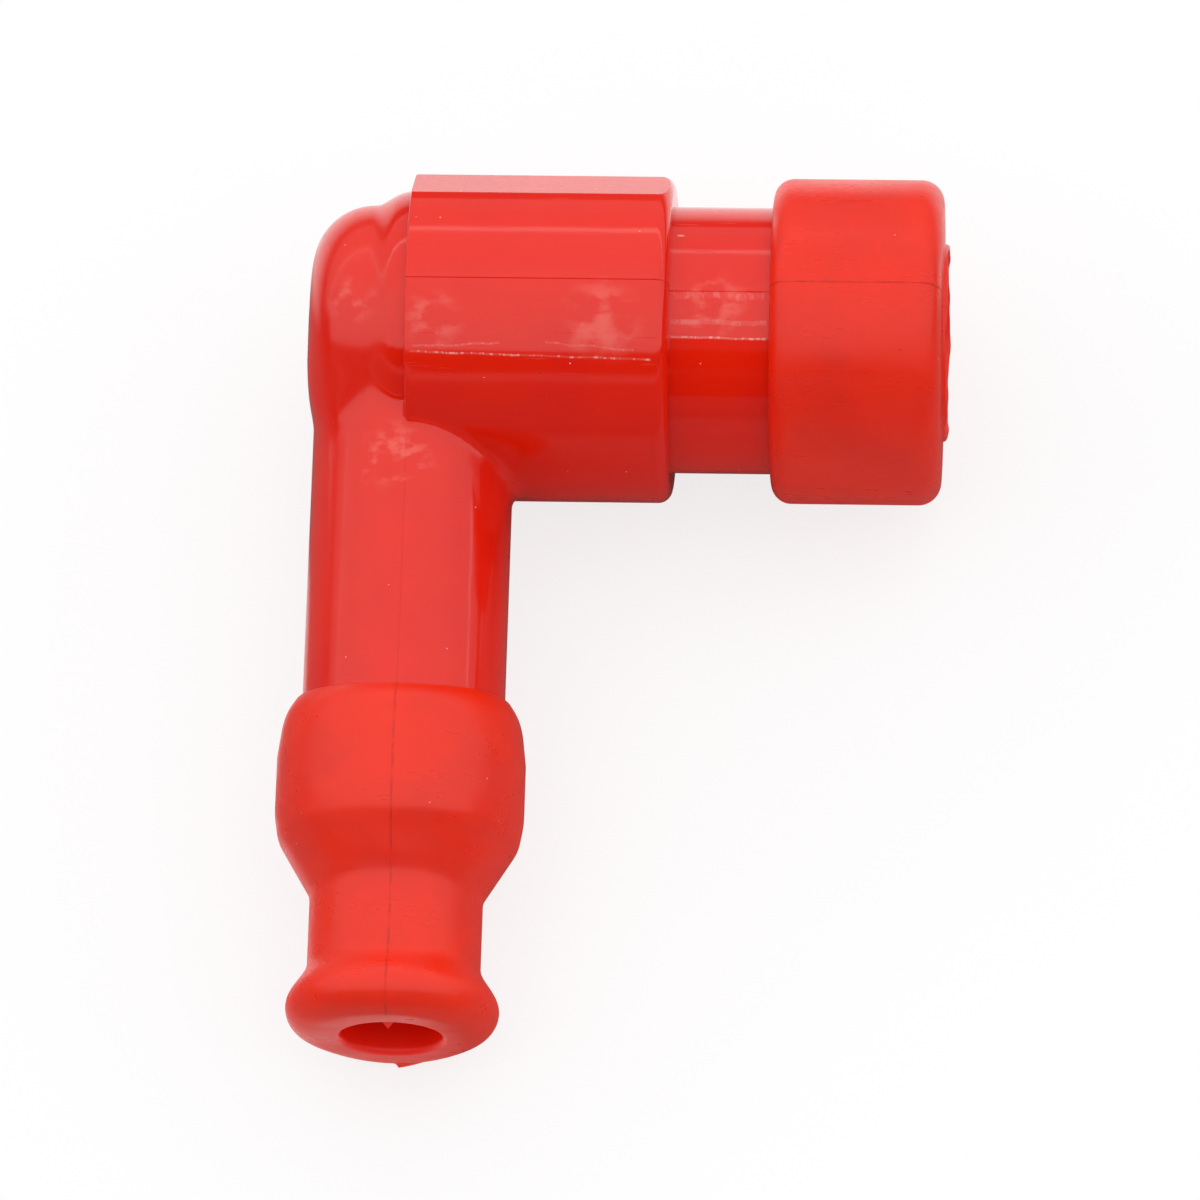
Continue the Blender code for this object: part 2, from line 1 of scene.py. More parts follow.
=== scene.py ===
"""Looks of a red right-angle spark plug cap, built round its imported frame.

The cap lies on a pale floor. Its three moulded pieces are modelled here in full: the glossy
resin elbow, the silicone seal on the plug's mouth and the silicone boot for the lead. The
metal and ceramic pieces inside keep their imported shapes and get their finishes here.

Shapes are drawn in the elbow's own axes, in metres: +X runs along the wide arm to the plug,
-Y along the slender arm to the lead, and +Z is square to both. They are then laid in place.
"""
import json
import logging
import math
from contextlib import contextmanager
from dataclasses import dataclass
from enum import Enum
from functools import reduce
from typing import Callable, Iterator

import bmesh
import bpy
import numpy as np
from mathutils import Matrix, Vector


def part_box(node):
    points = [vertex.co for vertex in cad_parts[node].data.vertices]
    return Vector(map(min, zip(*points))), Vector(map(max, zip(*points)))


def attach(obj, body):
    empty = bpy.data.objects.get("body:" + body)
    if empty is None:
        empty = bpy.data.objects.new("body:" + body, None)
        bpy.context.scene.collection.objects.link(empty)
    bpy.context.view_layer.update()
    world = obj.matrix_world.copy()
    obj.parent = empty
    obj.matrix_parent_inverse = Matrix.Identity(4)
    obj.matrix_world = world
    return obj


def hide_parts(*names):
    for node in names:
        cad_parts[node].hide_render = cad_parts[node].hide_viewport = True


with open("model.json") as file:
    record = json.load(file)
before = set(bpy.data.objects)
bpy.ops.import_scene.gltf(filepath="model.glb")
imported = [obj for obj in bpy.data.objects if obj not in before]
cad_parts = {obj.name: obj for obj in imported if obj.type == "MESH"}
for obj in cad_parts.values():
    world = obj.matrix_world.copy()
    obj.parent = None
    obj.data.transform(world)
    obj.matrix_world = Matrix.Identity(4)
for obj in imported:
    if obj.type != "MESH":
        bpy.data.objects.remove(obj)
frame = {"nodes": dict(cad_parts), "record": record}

MM = 0.001
TINY = 0.002 * MM
SMOOTH_BELOW = math.radians(12.0)
ROUNDING_STEP = math.radians(7.5)
ACROSS_X = Vector((1.0, 0.0, 0.0))
ACROSS_Y = Vector((0.0, 1.0, 0.0))
Outline = list[tuple[float, float]]
Triple = tuple[float, float, float]
Socket = bpy.types.NodeSocket
Piece = bpy.types.Object
Rows = np.ndarray
Chooser = Callable[[Rows], Rows]
log = logging.getLogger("spark_plug_cap")


class Arm(Enum):
    """The arm that a turned shape follows, as the direction of its axis."""

    WIDE = (1.0, 0.0, 0.0)
    SLENDER = (0.0, -1.0, 0.0)

    def place(self, axial: float, radial: float) -> Vector:
        """Return the point at an axial and a radial place, above the arm's axis."""
        return Vector(self.value) * axial + Vector((0.0, 0.0, radial))


class Cut(Enum):
    """How one solid is joined with another."""

    JOIN = "UNION"
    BORE = "DIFFERENCE"


def arc(centre: tuple[float, float], radius: float, start: float, end: float,
        points: int = 12) -> Outline:
    """Return points on an arc.

    Args:
        centre: Axial and radial place of the centre.
        radius: Radius of the arc.
        start: First angle in degrees, from the axial direction.
        end: Last angle in degrees.
        points: How many points the arc has.

    Returns:
        The points as (axial, radial) pairs.
    """
    angles = np.radians(np.linspace(start, end, points))
    return [(centre[0] + radius * math.cos(a), centre[1] + radius * math.sin(a)) for a in angles]


def soften(outline: Outline, reach: float, closed: bool = False) -> Outline:
    """Round every corner of an outline with a small tangent arc.

    Args:
        outline: Corner points as (axial, radial) pairs.
        reach: How far from its corner each rounding may start.
        closed: Whether the last point joins the first.

    Returns:
        The outline with its corners rounded.
    """
    most = 0.45
    points = [Vector(p) for p in outline]
    result = []
    for i, corner in enumerate(points):
        back = points[i - 1] - corner
        ahead = points[(i + 1) % len(points)] - corner
        turn = math.pi - back.angle(ahead, math.pi)
        if turn < ROUNDING_STEP or (not closed and i in (0, len(points) - 1)):
            result.append(tuple(corner))
            continue
        length = min(reach, most * back.length, most * ahead.length)
        back.normalize()
        ahead.normalize()
        centre = corner
        if turn <= math.pi - ROUNDING_STEP:
            centre = corner + (back + ahead).normalized() * length / math.sin(turn / 2.0)
        first = corner + back * length - centre
        last = corner + ahead * length - centre
        steps = max(2, math.ceil(turn / ROUNDING_STEP))
        for share in (k / steps for k in range(steps + 1)):
            spoke = first * (1.0 - share) + last * share
            result.append(tuple(centre + spoke.normalized() * first.length))
    return result


def divide(outline: Outline, step: float, start: float, end: float) -> Outline:
    """Split an outline's long stretches between two axial places.

    Args:
        outline: Points as (axial, radial) pairs.
        step: Longest stretch that stays whole.
        start: Lower axial limit of the split part.
        end: Upper axial limit of the split part.

    Returns:
        The outline with the points added.
    """
    result = [outline[0]]
    for near, far in zip(outline, outline[1:]):
        a, b = Vector(near), Vector(far)
        pieces = max(1, math.ceil((b - a).length / step))
        points = [a.lerp(b, k / pieces) for k in range(1, pieces)]
        result += [tuple(point) for point in points if start <= point.x <= end] + [far]
    return result


def outline_distance(points: Rows, outline: Outline) -> Rows:
    """Return how far points lie outside a closed outline, negative inside it.

    Args:
        points: Array of (axial, radial) rows.
        outline: Closed outline as (axial, radial) pairs.

    Returns:
        One signed distance a point.
    """
    corners = np.array(outline)
    nearest = np.full(len(points), np.inf)
    inside = np.zeros(len(points), bool)
    for a, b in zip(corners, np.roll(corners, -1, axis=0)):
        edge = b - a
        size = float(edge @ edge)
        if size == 0.0:
            continue
        away = points - a
        share = np.clip(away @ edge / size, 0.0, 1.0)
        nearest = np.minimum(nearest, np.linalg.norm(away - share[:, None] * edge, axis=1))
        if a[1] != b[1]:
            crossing = (a[1] > points[:, 1]) != (b[1] > points[:, 1])
            reach = edge[0] * (points[:, 1] - a[1]) / edge[1] + a[0]
            inside ^= crossing & (points[:, 0] < reach)
    return np.where(inside, -nearest, nearest)


class Bench:
    """Hand tools for modelling on one piece at a time."""

    @staticmethod
    def take(piece: Piece) -> None:
        """Select one piece alone and make it active."""
        bpy.ops.object.select_all(action="DESELECT")
        piece.select_set(True)
        bpy.context.view_layer.objects.active = piece

    @staticmethod
    @contextmanager
    def editing(piece: Piece) -> Iterator[None]:
        """Take a piece and keep it in edit mode for a while."""
        Bench.take(piece)
        bpy.ops.object.mode_set(mode="EDIT")
        yield
        bpy.ops.object.mode_set(mode="OBJECT")

    @staticmethod
    def pick(piece: Piece, chosen: Chooser, faces: bool = False) -> None:
        """Select vertices or faces of the piece in edit mode by their place.

        Args:
            piece: The piece being edited.
            chosen: Says which places, as rows, are wanted.
            faces: Whether faces are picked, by their middles, instead of vertices.
        """
        bpy.ops.mesh.select_mode(type="FACE" if faces else "VERT")
        bpy.ops.mesh.select_all(action="DESELECT")
        work = bmesh.from_edit_mesh(piece.data)
        parts = list(work.faces if faces else work.verts)
        places = np.array([part.calc_center_median() if faces else part.co for part in parts])
        for part, wanted in zip(parts, chosen(places)):
            part.select = bool(wanted)
        work.select_flush_mode()
        bmesh.update_edit_mesh(piece.data)

    @staticmethod
    def draw(name: str, outline: Outline, arm: Arm, closed: bool) -> Piece:
        """Draw an outline above an arm's axis, one extruded point after another.

        Args:
            name: Name of the new piece.
            outline: Points as (axial, radial) pairs.
            arm: The arm whose axis the outline is measured along.
            closed: Whether the last point is joined with the first.

        Returns:
            The piece, as a chain of edges, in edit mode.
        """
        places = [arm.place(axial, radial) for axial, radial in outline]
        bpy.ops.object.select_all(action="DESELECT")
        bpy.ops.mesh.primitive_plane_add(size=MM, location=(0.0, 0.0, 0.0))
        piece = bpy.context.object
        piece.name = piece.data.name = name
        bpy.ops.object.mode_set(mode="EDIT")
        bpy.ops.mesh.select_all(action="SELECT")
        bpy.ops.mesh.merge(type="CENTER")
        bpy.ops.transform.translate(value=places[0])
        for near, far in zip(places, places[1:]):
            bpy.ops.mesh.extrude_vertices_move(TRANSFORM_OT_translate={"value": far - near})
        if closed:
            work = bmesh.from_edit_mesh(piece.data)
            for vert in work.verts:
                vert.select = len(vert.link_edges) == 1
            work.select_flush_mode()
            bmesh.update_edit_mesh(piece.data)
            bpy.ops.mesh.edge_face_add()
        return piece

    @staticmethod
    def turn(name: str, outline: Outline, arm: Arm, steps: int,
             closed: bool = False) -> Piece:
        """Turn an outline round an arm's axis into a closed solid.

        Args:
            name: Name of the new piece.
            outline: Points as (axial, radial) pairs.
            arm: The arm whose axis the shape is turned round.
            steps: How many faces go round.
            closed: Whether the outline is a ring section.

        Returns:
            The turned piece, in object mode.
        """
        piece = Bench.draw(name, outline, arm, closed)
        bpy.ops.mesh.select_all(action="SELECT")
        bpy.ops.mesh.spin(steps=steps, angle=math.tau, center=(0.0, 0.0, 0.0), axis=arm.value)
        bpy.ops.mesh.select_all(action="SELECT")
        bpy.ops.mesh.remove_doubles(threshold=TINY)
        bpy.ops.mesh.normals_make_consistent(inside=False)
        bpy.ops.object.mode_set(mode="OBJECT")
        return piece

    @staticmethod
    def combine(piece: Piece, tool: Piece, cut: Cut) -> None:
        """Join a solid to the piece, or bore it out, and use the tool up.

        Args:
            piece: The piece that is kept.
            tool: The solid that is joined or bored out.
            cut: Which of the two is done.
        """
        Bench.take(piece)
        boolean = piece.modifiers.new(cut.name, "BOOLEAN")
        boolean.operation = cut.value
        boolean.solver = "EXACT"
        boolean.object = tool
        bpy.ops.object.modifier_apply(modifier=boolean.name)
        bpy.data.objects.remove(tool, do_unlink=True)

    @staticmethod
    def slice_flat(piece: Piece, place: Vector, outward: Vector) -> None:
        """Cut a flat on the piece, at a place and square to a direction, and close it."""
        with Bench.editing(piece):
            bpy.ops.mesh.select_all(action="SELECT")
            bpy.ops.mesh.bisect(plane_co=place, plane_no=outward, use_fill=True,
                                clear_outer=True, threshold=TINY / 10.0)

    @staticmethod
    def raise_seam(piece: Piece, across: Vector, inside: Chooser, half_width: float,
                   height: float) -> None:
        """Raise a fine parting line where the plane between two mould halves meets the piece.

        Args:
            piece: The piece, in object mode.
            across: Unit direction across the line.
            inside: Says which places, as rows, belong to the stretch with the line.
            half_width: Half the width of the line's foot.
            height: How far the line stands up.
        """
        band, core = 8.0 * half_width, half_width / 4.0
        with Bench.editing(piece):
            for side in (-1.0, 0.0, 1.0):
                Bench.pick(piece, lambda p: (np.abs(p @ across) < band) & inside(p), faces=True)
                bpy.ops.mesh.bisect(plane_co=across * half_width * side, plane_no=across,
                                    threshold=TINY / 10.0)
            Bench.pick(piece, lambda p: (np.abs(p @ across) < core) & inside(p))
            bpy.ops.transform.shrink_fatten(value=height)

    @staticmethod
    def merge_near(piece: Piece, chosen: Chooser, reach: float) -> None:
        """Merge the chosen vertices of a piece that lie closer together than reach."""
        with Bench.editing(piece):
            Bench.pick(piece, chosen)
            bpy.ops.mesh.remove_doubles(threshold=reach)

    @staticmethod
    def blend_edges(piece: Piece, chosen: Chooser) -> None:
        """Let the light run smoothly over all edges between the chosen vertices."""
        with Bench.editing(piece):
            Bench.pick(piece, chosen)
            bpy.ops.mesh.mark_sharp(clear=True)

    @staticmethod
    def reshape(piece: Piece, move: Chooser) -> None:
        """Move all the vertices of a piece at once.

        Args:
            piece: The piece, in object mode.
            move: Takes the vertices' places as rows and returns the new ones.
        """
        places = np.zeros(len(piece.data.vertices) * 3)
        piece.data.vertices.foreach_get("co", places)
        piece.data.vertices.foreach_set("co", move(places.reshape(-1, 3)).ravel())
        piece.data.update()

    @staticmethod
    def finish(piece: Piece, finish: "Finish", node: str, slot: str,
               laid: Matrix, soft: Chooser | None = None) -> None:
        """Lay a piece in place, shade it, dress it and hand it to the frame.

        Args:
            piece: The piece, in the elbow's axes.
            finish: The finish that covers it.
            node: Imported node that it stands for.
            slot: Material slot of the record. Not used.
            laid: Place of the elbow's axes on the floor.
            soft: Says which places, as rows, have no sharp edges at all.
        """
        Bench.take(piece)
        bpy.ops.object.shade_smooth_by_angle(angle=SMOOTH_BELOW)
        if soft is not None:
            Bench.blend_edges(piece, soft)
        piece.data.transform(laid)
        piece.data.update()
        finish.cover(piece, laid)
        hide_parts(node)
        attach(piece, "root")
        log.info("%s: %d faces", piece.name, len(piece.data.polygons))


@dataclass(frozen=True)
class Pattern:
    """A cloudy pattern on a piece.

    Attributes:
        scale: How many turns it makes in a millimetre.
        detail: How many finer layers it has.
        roughness: How strong the finer layers are.
        stretch: Factor on the place along each axis.
        turn: Turn of the place before it is stretched, in radians.
    """

    scale: float
    detail: float = 2.0
    roughness: float = 0.5
    stretch: Triple = (1.0, 1.0, 1.0)
    turn: Triple = (0.0, 0.0, 0.0)


CLOUDS = Pattern(0.16, 3.0, 0.6)
SMEARS = Pattern(0.8, 4.0, 0.65, (0.12, 0.5, 0.5))
SLOW_WAVES = Pattern(0.22, 2.0, 0.45, (0.5, 1.0, 1.0))
FINE_GRAIN = Pattern(5.0, 3.0, 0.6)
HAIRS = Pattern(1.0, 1.0, 0.5, (0.25, 7.0, 7.0), (0.0, 0.1, 0.3))
SEAM_BREAKS = Pattern(0.9, 3.0)
STRAYS = Pattern(0.5, stretch=(1.0, 0.0, 0.0))
SPARKS = Pattern(3.5, 2.0, 0.6, (1.0, 0.3, 0.3))
STAINS = Pattern(0.9, 5.0, 0.6)
FIRED_GRAIN = Pattern(6.0, 4.0, 0.7)


class Wiring:
    """The nodes of a material or a world, added and linked one after another.

    Attributes:
        place: The coordinates that its patterns follow.
        parts: The same coordinates one by one, by their letters.
    """

    def __init__(self, tree: bpy.types.NodeTree, coordinates: str = "Object",
                 laid: Matrix | None = None) -> None:
        """Start on a node tree.

        Args:
            tree: The node tree.
            coordinates: Name of the coordinates that it reads.
            laid: Place of the elbow's axes, if patterns follow these axes in millimetres.
        """
        self.tree = tree
        self.count = 0
        self.place = self.add("ShaderNodeTexCoord").outputs[coordinates]
        if laid is not None:
            back = laid.inverted()
            self.place = self.mapped(back.to_translation() / MM, back.to_euler(), (1.0 / MM,) * 3)
        split = self.feed_all(self.add("ShaderNodeSeparateXYZ"), self.place)
        self.parts = {axis: split.outputs[axis] for axis in "XYZ"}

    def add(self, kind: str, **settings: object) -> bpy.types.Node:
        """Return a new node of a kind, with its settings made."""
        node = self.tree.nodes.new(kind)
        column, row = divmod(self.count, 4)
        node.location = (-200.0 - 180.0 * column, 300.0 - 220.0 * row)
        self.count += 1
        for key, value in settings.items():
            setattr(node, key, value)
        return node

    def feed(self, socket: Socket, value: object) -> None:
        """Link an output to a socket, or set a plain value on it."""
        if isinstance(value, Socket):
            self.tree.links.new(value, socket)
        else:
            socket.default_value = value

    def feed_all(self, node: bpy.types.Node, *values: object) -> bpy.types.Node:
        """Feed a node's first inputs in order, and return the node."""
        for socket, value in zip(node.inputs, values):
            self.feed(socket, value)
        return node

    def surface(self, values: dict[str, object]) -> None:
        """Feed inputs of the Principled shader by their names."""
        for name, value in values.items():
            self.feed(self.tree.nodes["Principled BSDF"].inputs[name], value)

    def maths(self, operation: str, *values: object) -> Socket:
        """Return the result of a sum on numbers or outputs."""
        return self.feed_all(self.add("ShaderNodeMath", operation=operation), *values).outputs[0]

    def product(self, *values: object) -> Socket:
        """Return numbers or outputs multiplied with one another."""
        return reduce(lambda first, second: self.maths("MULTIPLY", first, second), values)

    def vector(self, operation: str, *values: object) -> Socket:
        """Return the result of a sum on places: a number for a length, else a place."""
        node = self.feed_all(self.add("ShaderNodeVectorMath", operation=operation), *values)
        return node.outputs["Value" if operation in ("LENGTH", "DISTANCE") else "Vector"]

    def span(self, value: object, low: float, high: float, start: float = 0.0,
             end: float = 1.0) -> Socket:
        """Return a value brought smoothly from one range to another and held there."""
        node = self.add("ShaderNodeMapRange", interpolation_type="SMOOTHSTEP")
        return self.feed_all(node, value, low, high, start, end).outputs[0]

    def between(self, value: object, low: float, high: float, soft: float) -> Socket:
        """Return 1 between two levels and 0 outside them, with soft edges within."""
        return self.product(self.span(value, low, low + soft),
                            self.span(value, high - soft, high, 1.0, 0.0))

    def mapped(self, move: Triple, turn: Triple, stretch: Triple) -> Socket:
        """Return the coordinates stretched, turned and moved, in this order."""
        node = self.feed_all(self.add("ShaderNodeMapping"), self.place, move, turn, stretch)
        return node.outputs[0]

    def noise(self, pattern: Pattern) -> Socket:
        """Return a cloudy pattern from 0 to 1."""
        place = self.place
        if (pattern.stretch, pattern.turn) != (Pattern.stretch, Pattern.turn):
            place = self.mapped((0.0, 0.0, 0.0), pattern.turn, pattern.stretch)
        node = self.add("ShaderNodeTexNoise")
        for name, value in (("Vector", place), ("Scale", pattern.scale),
                            ("Detail", pattern.detail), ("Roughness", pattern.roughness)):
            self.feed(node.inputs[name], value)
        return node.outputs["Fac"]

    def specks(self, scale: float, size: float) -> Socket:
        """Return a mask of specks, one a cell, with a radius as a share of the cell."""
        node = self.add("ShaderNodeTexVoronoi")
        self.feed(node.inputs["Vector"], self.place)
        self.feed(node.inputs["Scale"], scale)
        return self.span(node.outputs["Distance"], size * 0.6, size, 1.0, 0.0)

    def blend(self, share: object, first: object, second: object) -> Socket:
        """Return a colour between two colours."""
        node = self.add("ShaderNodeMix", data_type="RGBA")
        self.feed(node.inputs[0], share)
        for socket, value in zip((node.inputs[6], node.inputs[7]), (first, second)):
            self.feed(socket, (*value, 1.0) if isinstance(value, tuple) else value)
        return node.outputs[2]

    def bump(self, level: object, height: float, normal: object = None) -> Socket:
        """Return a normal tilted by a pattern that is a height in metres at its level 1."""
        node = self.add("ShaderNodeBump")
        self.feed(node.inputs["Strength"], 1.0)
        self.feed(node.inputs["Distance"], height)
        self.feed(node.inputs["Height"], level)
        if normal is not None:
            self.feed(node.inputs["Normal"], normal)
        return node.outputs["Normal"]


@dataclass(frozen=True)
class Finish:
    """A surface finish with its plain colour and gloss."""

    name: str
    colour: Triple
    roughness: float
    metallic: float = 0.0

    def cover(self, piece: Piece, laid: Matrix) -> None:
        """Make the finish's material and cover a piece with it.

        Args:
            piece: The piece, laid on the floor.
            laid: Place of the elbow's axes on the floor.
        """
        material = bpy.data.materials.new(self.name)
        material.use_nodes = True
        material.diffuse_color = (*self.colour, 1.0)
        wiring = Wiring(material.node_tree, laid=laid)
        wiring.surface({"Base Color": (*self.colour, 1.0), "Roughness": self.roughness,
                        "Metallic": self.metallic})
        self.dress(wiring)
        piece.data.materials.clear()
        piece.data.materials.append(material)

    def dress(self, wiring: Wiring) -> None:
        """Wire the finish's patterns. A plain finish has none."""


@dataclass(frozen=True)
class Mark:
    """A wrinkled patch that the mould left in the skin, with a painted highlight on its wrinkles.

    Attributes:
        centre: Its middle in the elbow's axes, in millimetres.
        radius: How far it reaches, in millimetres.
        height: Height of its wrinkles, in metres.
        scale: Wrinkles a millimetre.
    """

    centre: Triple
    radius: float
    height: float
    scale: float

    def press(self, wiring: Wiring, normal: Socket) -> tuple[Socket, Socket]:
        """Press the patch into the skin.

        Args:
            wiring: The material's nodes.
            normal: The normal without the patch.

        Returns:
            The normal with the patch, and how strong the painted highlight on its wrinkles is.
        """
        patch = wiring.span(wiring.vector("DISTANCE", wiring.place, self.centre),
                            0.3 * self.radius, self.radius, 1.0, 0.0)
        wrinkles = wiring.noise(Pattern(self.scale, 3.0, stretch=(0.7, 1.0, 1.0)))
        # The paler colour on the wrinkles is a painted highlight.
        pale = wiring.product(patch, wiring.span(wrinkles, 0.45, 0.68, 0.0, 0.5))
        return wiring.bump(wiring.product(patch, wrinkles), self.height, normal), pale


@dataclass(frozen=True)
class Glint:
    """A painted highlight: a fine pale line along the wide arm, where the skin catches the light.

    Attributes:
        start: Where it starts, as the place along the arm and across it, in millimetres.
        end: Where it ends.
        half_width: Half its width, in millimetres.
        strength: How pale it is, from 0 to 1.
        broken: How much it breaks up into single sparks, from 0 to 1.
        wander: How far it strays to each side, in millimetres.
    """

    start: tuple[float, float]
    end: tuple[float, float]
    half_width: float
    strength: float
    broken: float = 0.0
    wander: float = 0.03

    def mask(self, wiring: Wiring) -> Socket:
        """Return how strong the painted highlight is at each place, from 0 to 1."""
        parts = wiring.parts
        slope = (self.end[1] - self.start[1]) / (self.end[0] - self.start[0])
        level = slope * self.start[0] - self.start[1]
        line = wiring.maths("MULTIPLY_ADD", parts["X"], -slope, level)
        stray = wiring.span(wiring.noise(STRAYS), 0.3, 0.7, -self.wander, self.wander)
        away = wiring.maths("ADD", wiring.maths("ADD", parts["Y"], line), stray)
        near = wiring.span(wiring.maths("ABSOLUTE", away),
                           0.3 * self.half_width, self.half_width, self.strength, 0.0)
        sparks = wiring.span(wiring.noise(SPARKS), 0.5, 0.62, 1.0 - self.broken, 1.0)
        return wiring.product(near, sparks,
                              wiring.between(parts["X"], self.start[0], self.end[0], 0.2),
                              wiring.maths("GREATER_THAN", parts["Z"], 0.0))


@dataclass(frozen=True)
class MouldedFinish(Finish):
    """A moulded red material with clouds, specks, scratches and soft waves, and painted highlights
    and bounce light.

    Attributes:
        shade: Deeper colour that clouds through the main one.
        dust_and_glint: Colour of the pale specks of dirt and of the painted highlight lines.
        grit: Colour of the dark specks.
        wrinkle_sheen: Colour of the painted highlight on the wrinkled patches.
        groove: Colour of the parting line.
        painted_bounce: Brighter, purer red painted inside a hole as bounce light.
        ior: Index of refraction.
        coat: Weight of the clear skin.
        glow: Share of the light that wanders under the surface.
        waves: Height of the slow waves, in metres.
        grain: Height of the fine grain, in metres.
        scratches: Height of the scratches, in metres.
        marks: Wrinkled patches.
        glints: Painted highlight lines.
        dull: Roughness that the dome has on top of the rest.
        matt: Start and end along the wide arm, then across it, of a band that doesn't shine.
        bore: Radius of the hole along the slender arm, in millimetres, inside which bounce light is
            painted, if there is one.
        seam: Letter of the axis across the dark parting line, if there is one.
    """

    shade: Triple = (0.78, 0.012, 0.004)
    dust_and_glint: Triple = (0.95, 0.55, 0.50)
    grit: Triple = (0.22, 0.02, 0.01)
    wrinkle_sheen: Triple = (0.92, 0.17, 0.13)
    groove: Triple = (0.42, 0.012, 0.005)
    painted_bounce: Triple = (1.0, 0.012, 0.001)
    ior: float = 1.5
    coat: float = 0.0
    glow: float = 0.3
    waves: float = 0.03 * MM
    grain: float = 0.0008 * MM
    scratches: float = 0.004 * MM
    marks: tuple[Mark, ...] = ()
    glints: tuple[Glint, ...] = ()
    dull: float = 0.0
    matt: tuple[float, ...] = ()
    bore: float = 0.0
    seam: str = ""

    def skin(self, wiring: Wiring) -> Socket:
        """Return the colour with its painted highlight lines and painted bounce light, without the
        wrinkled patches.
        """
        clouds = wiring.span(wiring.noise(CLOUDS), 0.35, 0.75)
        colour = wiring.blend(clouds, self.colour, self.shade)
        colour = wiring.blend(wiring.specks(0.5, 0.028), colour, self.dust_and_glint)
        colour = wiring.blend(wiring.specks(0.23, 0.016), colour, self.grit)
        if self.seam:
            away = wiring.maths("ABSOLUTE", wiring.parts[self.seam])
            dark = wiring.product(wiring.span(away, 0.04, 0.12, 1.0, 0.0),
                                  wiring.span(wiring.noise(SEAM_BREAKS), 0.4, 0.6, 0.05, 0.42),
                                  wiring.span(wiring.parts["Z"], 4.5, 5.5))
            colour = wiring.blend(dark, colour, self.groove)
        # Painted bounce light: a brighter, purer red inside the hole.
        if self.bore:
            away = wiring.vector("LENGTH",
                                 wiring.vector("MULTIPLY", wiring.place, (1.0, 0.0, 1.0)))
            inside = wiring.span(away, self.bore - 0.3, self.bore, 1.0, 0.0)
            colour = wiring.blend(inside, colour, self.painted_bounce)
        # Painted highlight lines, in the colour of the pale specks.
        for glint in self.glints:
            colour = wiring.blend(glint.mask(wiring), colour, self.dust_and_glint)
        return colour

    def gloss(self, wiring: Wiring) -> dict[str, object]:
        """Return the strength of the shine and of the clear skin, less in the matt band."""
        if not self.matt:
            return {"Coat Weight": self.coat}
        parts = wiring.parts
        start, end, near, far = self.matt
        band = wiring.product(wiring.between(parts["X"], start, end, 0.1),
                              wiring.span(parts["Y"], near - 0.1, near, 1.0, 0.0),
                              wiring.span(parts["Y"], far - 0.1, far + 0.1),
                              wiring.maths("GREATER_THAN", parts["Z"], 0.0))
        return {"Specular IOR Level": wiring.span(band, 0.0, 1.0, 0.5, 0.08),
                "Coat Weight": wiring.span(band, 0.0, 1.0, self.coat, 0.0)}

    def relief(self, wiring: Wiring) -> Socket:
        """Return the normal with the waves, the grain and the scratches."""
        normal = wiring.bump(wiring.noise(SLOW_WAVES), self.waves)
        normal = wiring.bump(wiring.noise(FINE_GRAIN), self.grain, normal)
        if self.scratches:
            scratch = wiring.span(wiring.noise(HAIRS), 0.70, 0.76)
            normal = wiring.bump(scratch, self.scratches, normal)
        return normal

    def dress(self, wiring: Wiring) -> None:
        """Wire the colour, the gloss and the relief."""
        colour = self.skin(wiring)
        normal = self.relief(wiring)
        # The wrinkles of each patch also get a paler colour, a painted highlight.
        for mark in self.marks:
            normal, pale = mark.press(wiring, normal)
            colour = wiring.blend(pale, colour, self.wrinkle_sheen)
        rough = wiring.span(wiring.noise(SMEARS), 0.35, 0.75,
                            self.roughness, self.roughness * 1.7)
        dome = wiring.span(wiring.parts["X"], -2.4, -1.0, self.dull, 0.0)
        wiring.surface(self.gloss(wiring) | {
            "Base Color": colour, "Roughness": wiring.maths("ADD", rough, dome), "IOR": self.ior,
            "Normal": normal, "Coat Normal": normal, "Coat Roughness": 0.03,
            "Subsurface Weight": self.glow, "Subsurface Radius": (1.0, 0.12, 0.06),
            "Subsurface Scale": 1.2 * MM})


@dataclass(frozen=True)
class MetalFinish(Finish):
    """A turned or drawn metal with fine rings along one axis and faint stains.

    Attributes:
        metallic: Share of metal, which is all of it.
        stain: Colour of the stained places.
        rings: Tool marks a millimetre along the wide arm.
        depth: Height of the tool marks, in metres.
    """

    metallic: float = 1.0
    stain: Triple = (0.30, 0.22, 0.10)
    rings: float = 12.0
    depth: float = 0.003 * MM

    def dress(self, wiring: Wiring) -> None:
        """Wire the stains and the tool marks."""
        stains = wiring.noise(STAINS)
        share = wiring.span(stains, 0.5, 0.8, 0.0, 0.6)
        marks = wiring.noise(Pattern(1.0, stretch=(self.rings, 0.3, 0.3)))
        wiring.surface({
            "Base Color": wiring.blend(share, self.colour, self.stain),
            "Roughness": wiring.span(stains, 0.3, 0.8, self.roughness * 0.8, self.roughness * 1.6),
            "Normal": wiring.bump(marks, self.depth)})


@dataclass(frozen=True)
class CeramicFinish(Finish):
    """A fired, unglazed ceramic with a fine grain and pinholes.

    Attributes:
        warm: Colour that grains through the main one.
        pinhole: Colour of the pinholes.
        depth: Height of the grain, in metres.
    """

    warm: Triple = (0.74, 0.70, 0.60)
    pinhole: Triple = (0.45, 0.41, 0.34)
    depth: float = 0.01 * MM

    def dress(self, wiring: Wiring) -> None:
        """Wire the grain and the pinholes."""
        grain = wiring.noise(FIRED_GRAIN)
        colour = wiring.blend(wiring.span(grain, 0.3, 0.7), self.colour, self.warm)
        wiring.surface({
            "Base Color": wiring.blend(wiring.specks(1.6, 0.12), colour, self.pinhole),
            "Roughness": wiring.span(grain, 0.3, 0.7, 0.45, 0.7),
            "Normal": wiring.bump(grain, self.depth)})
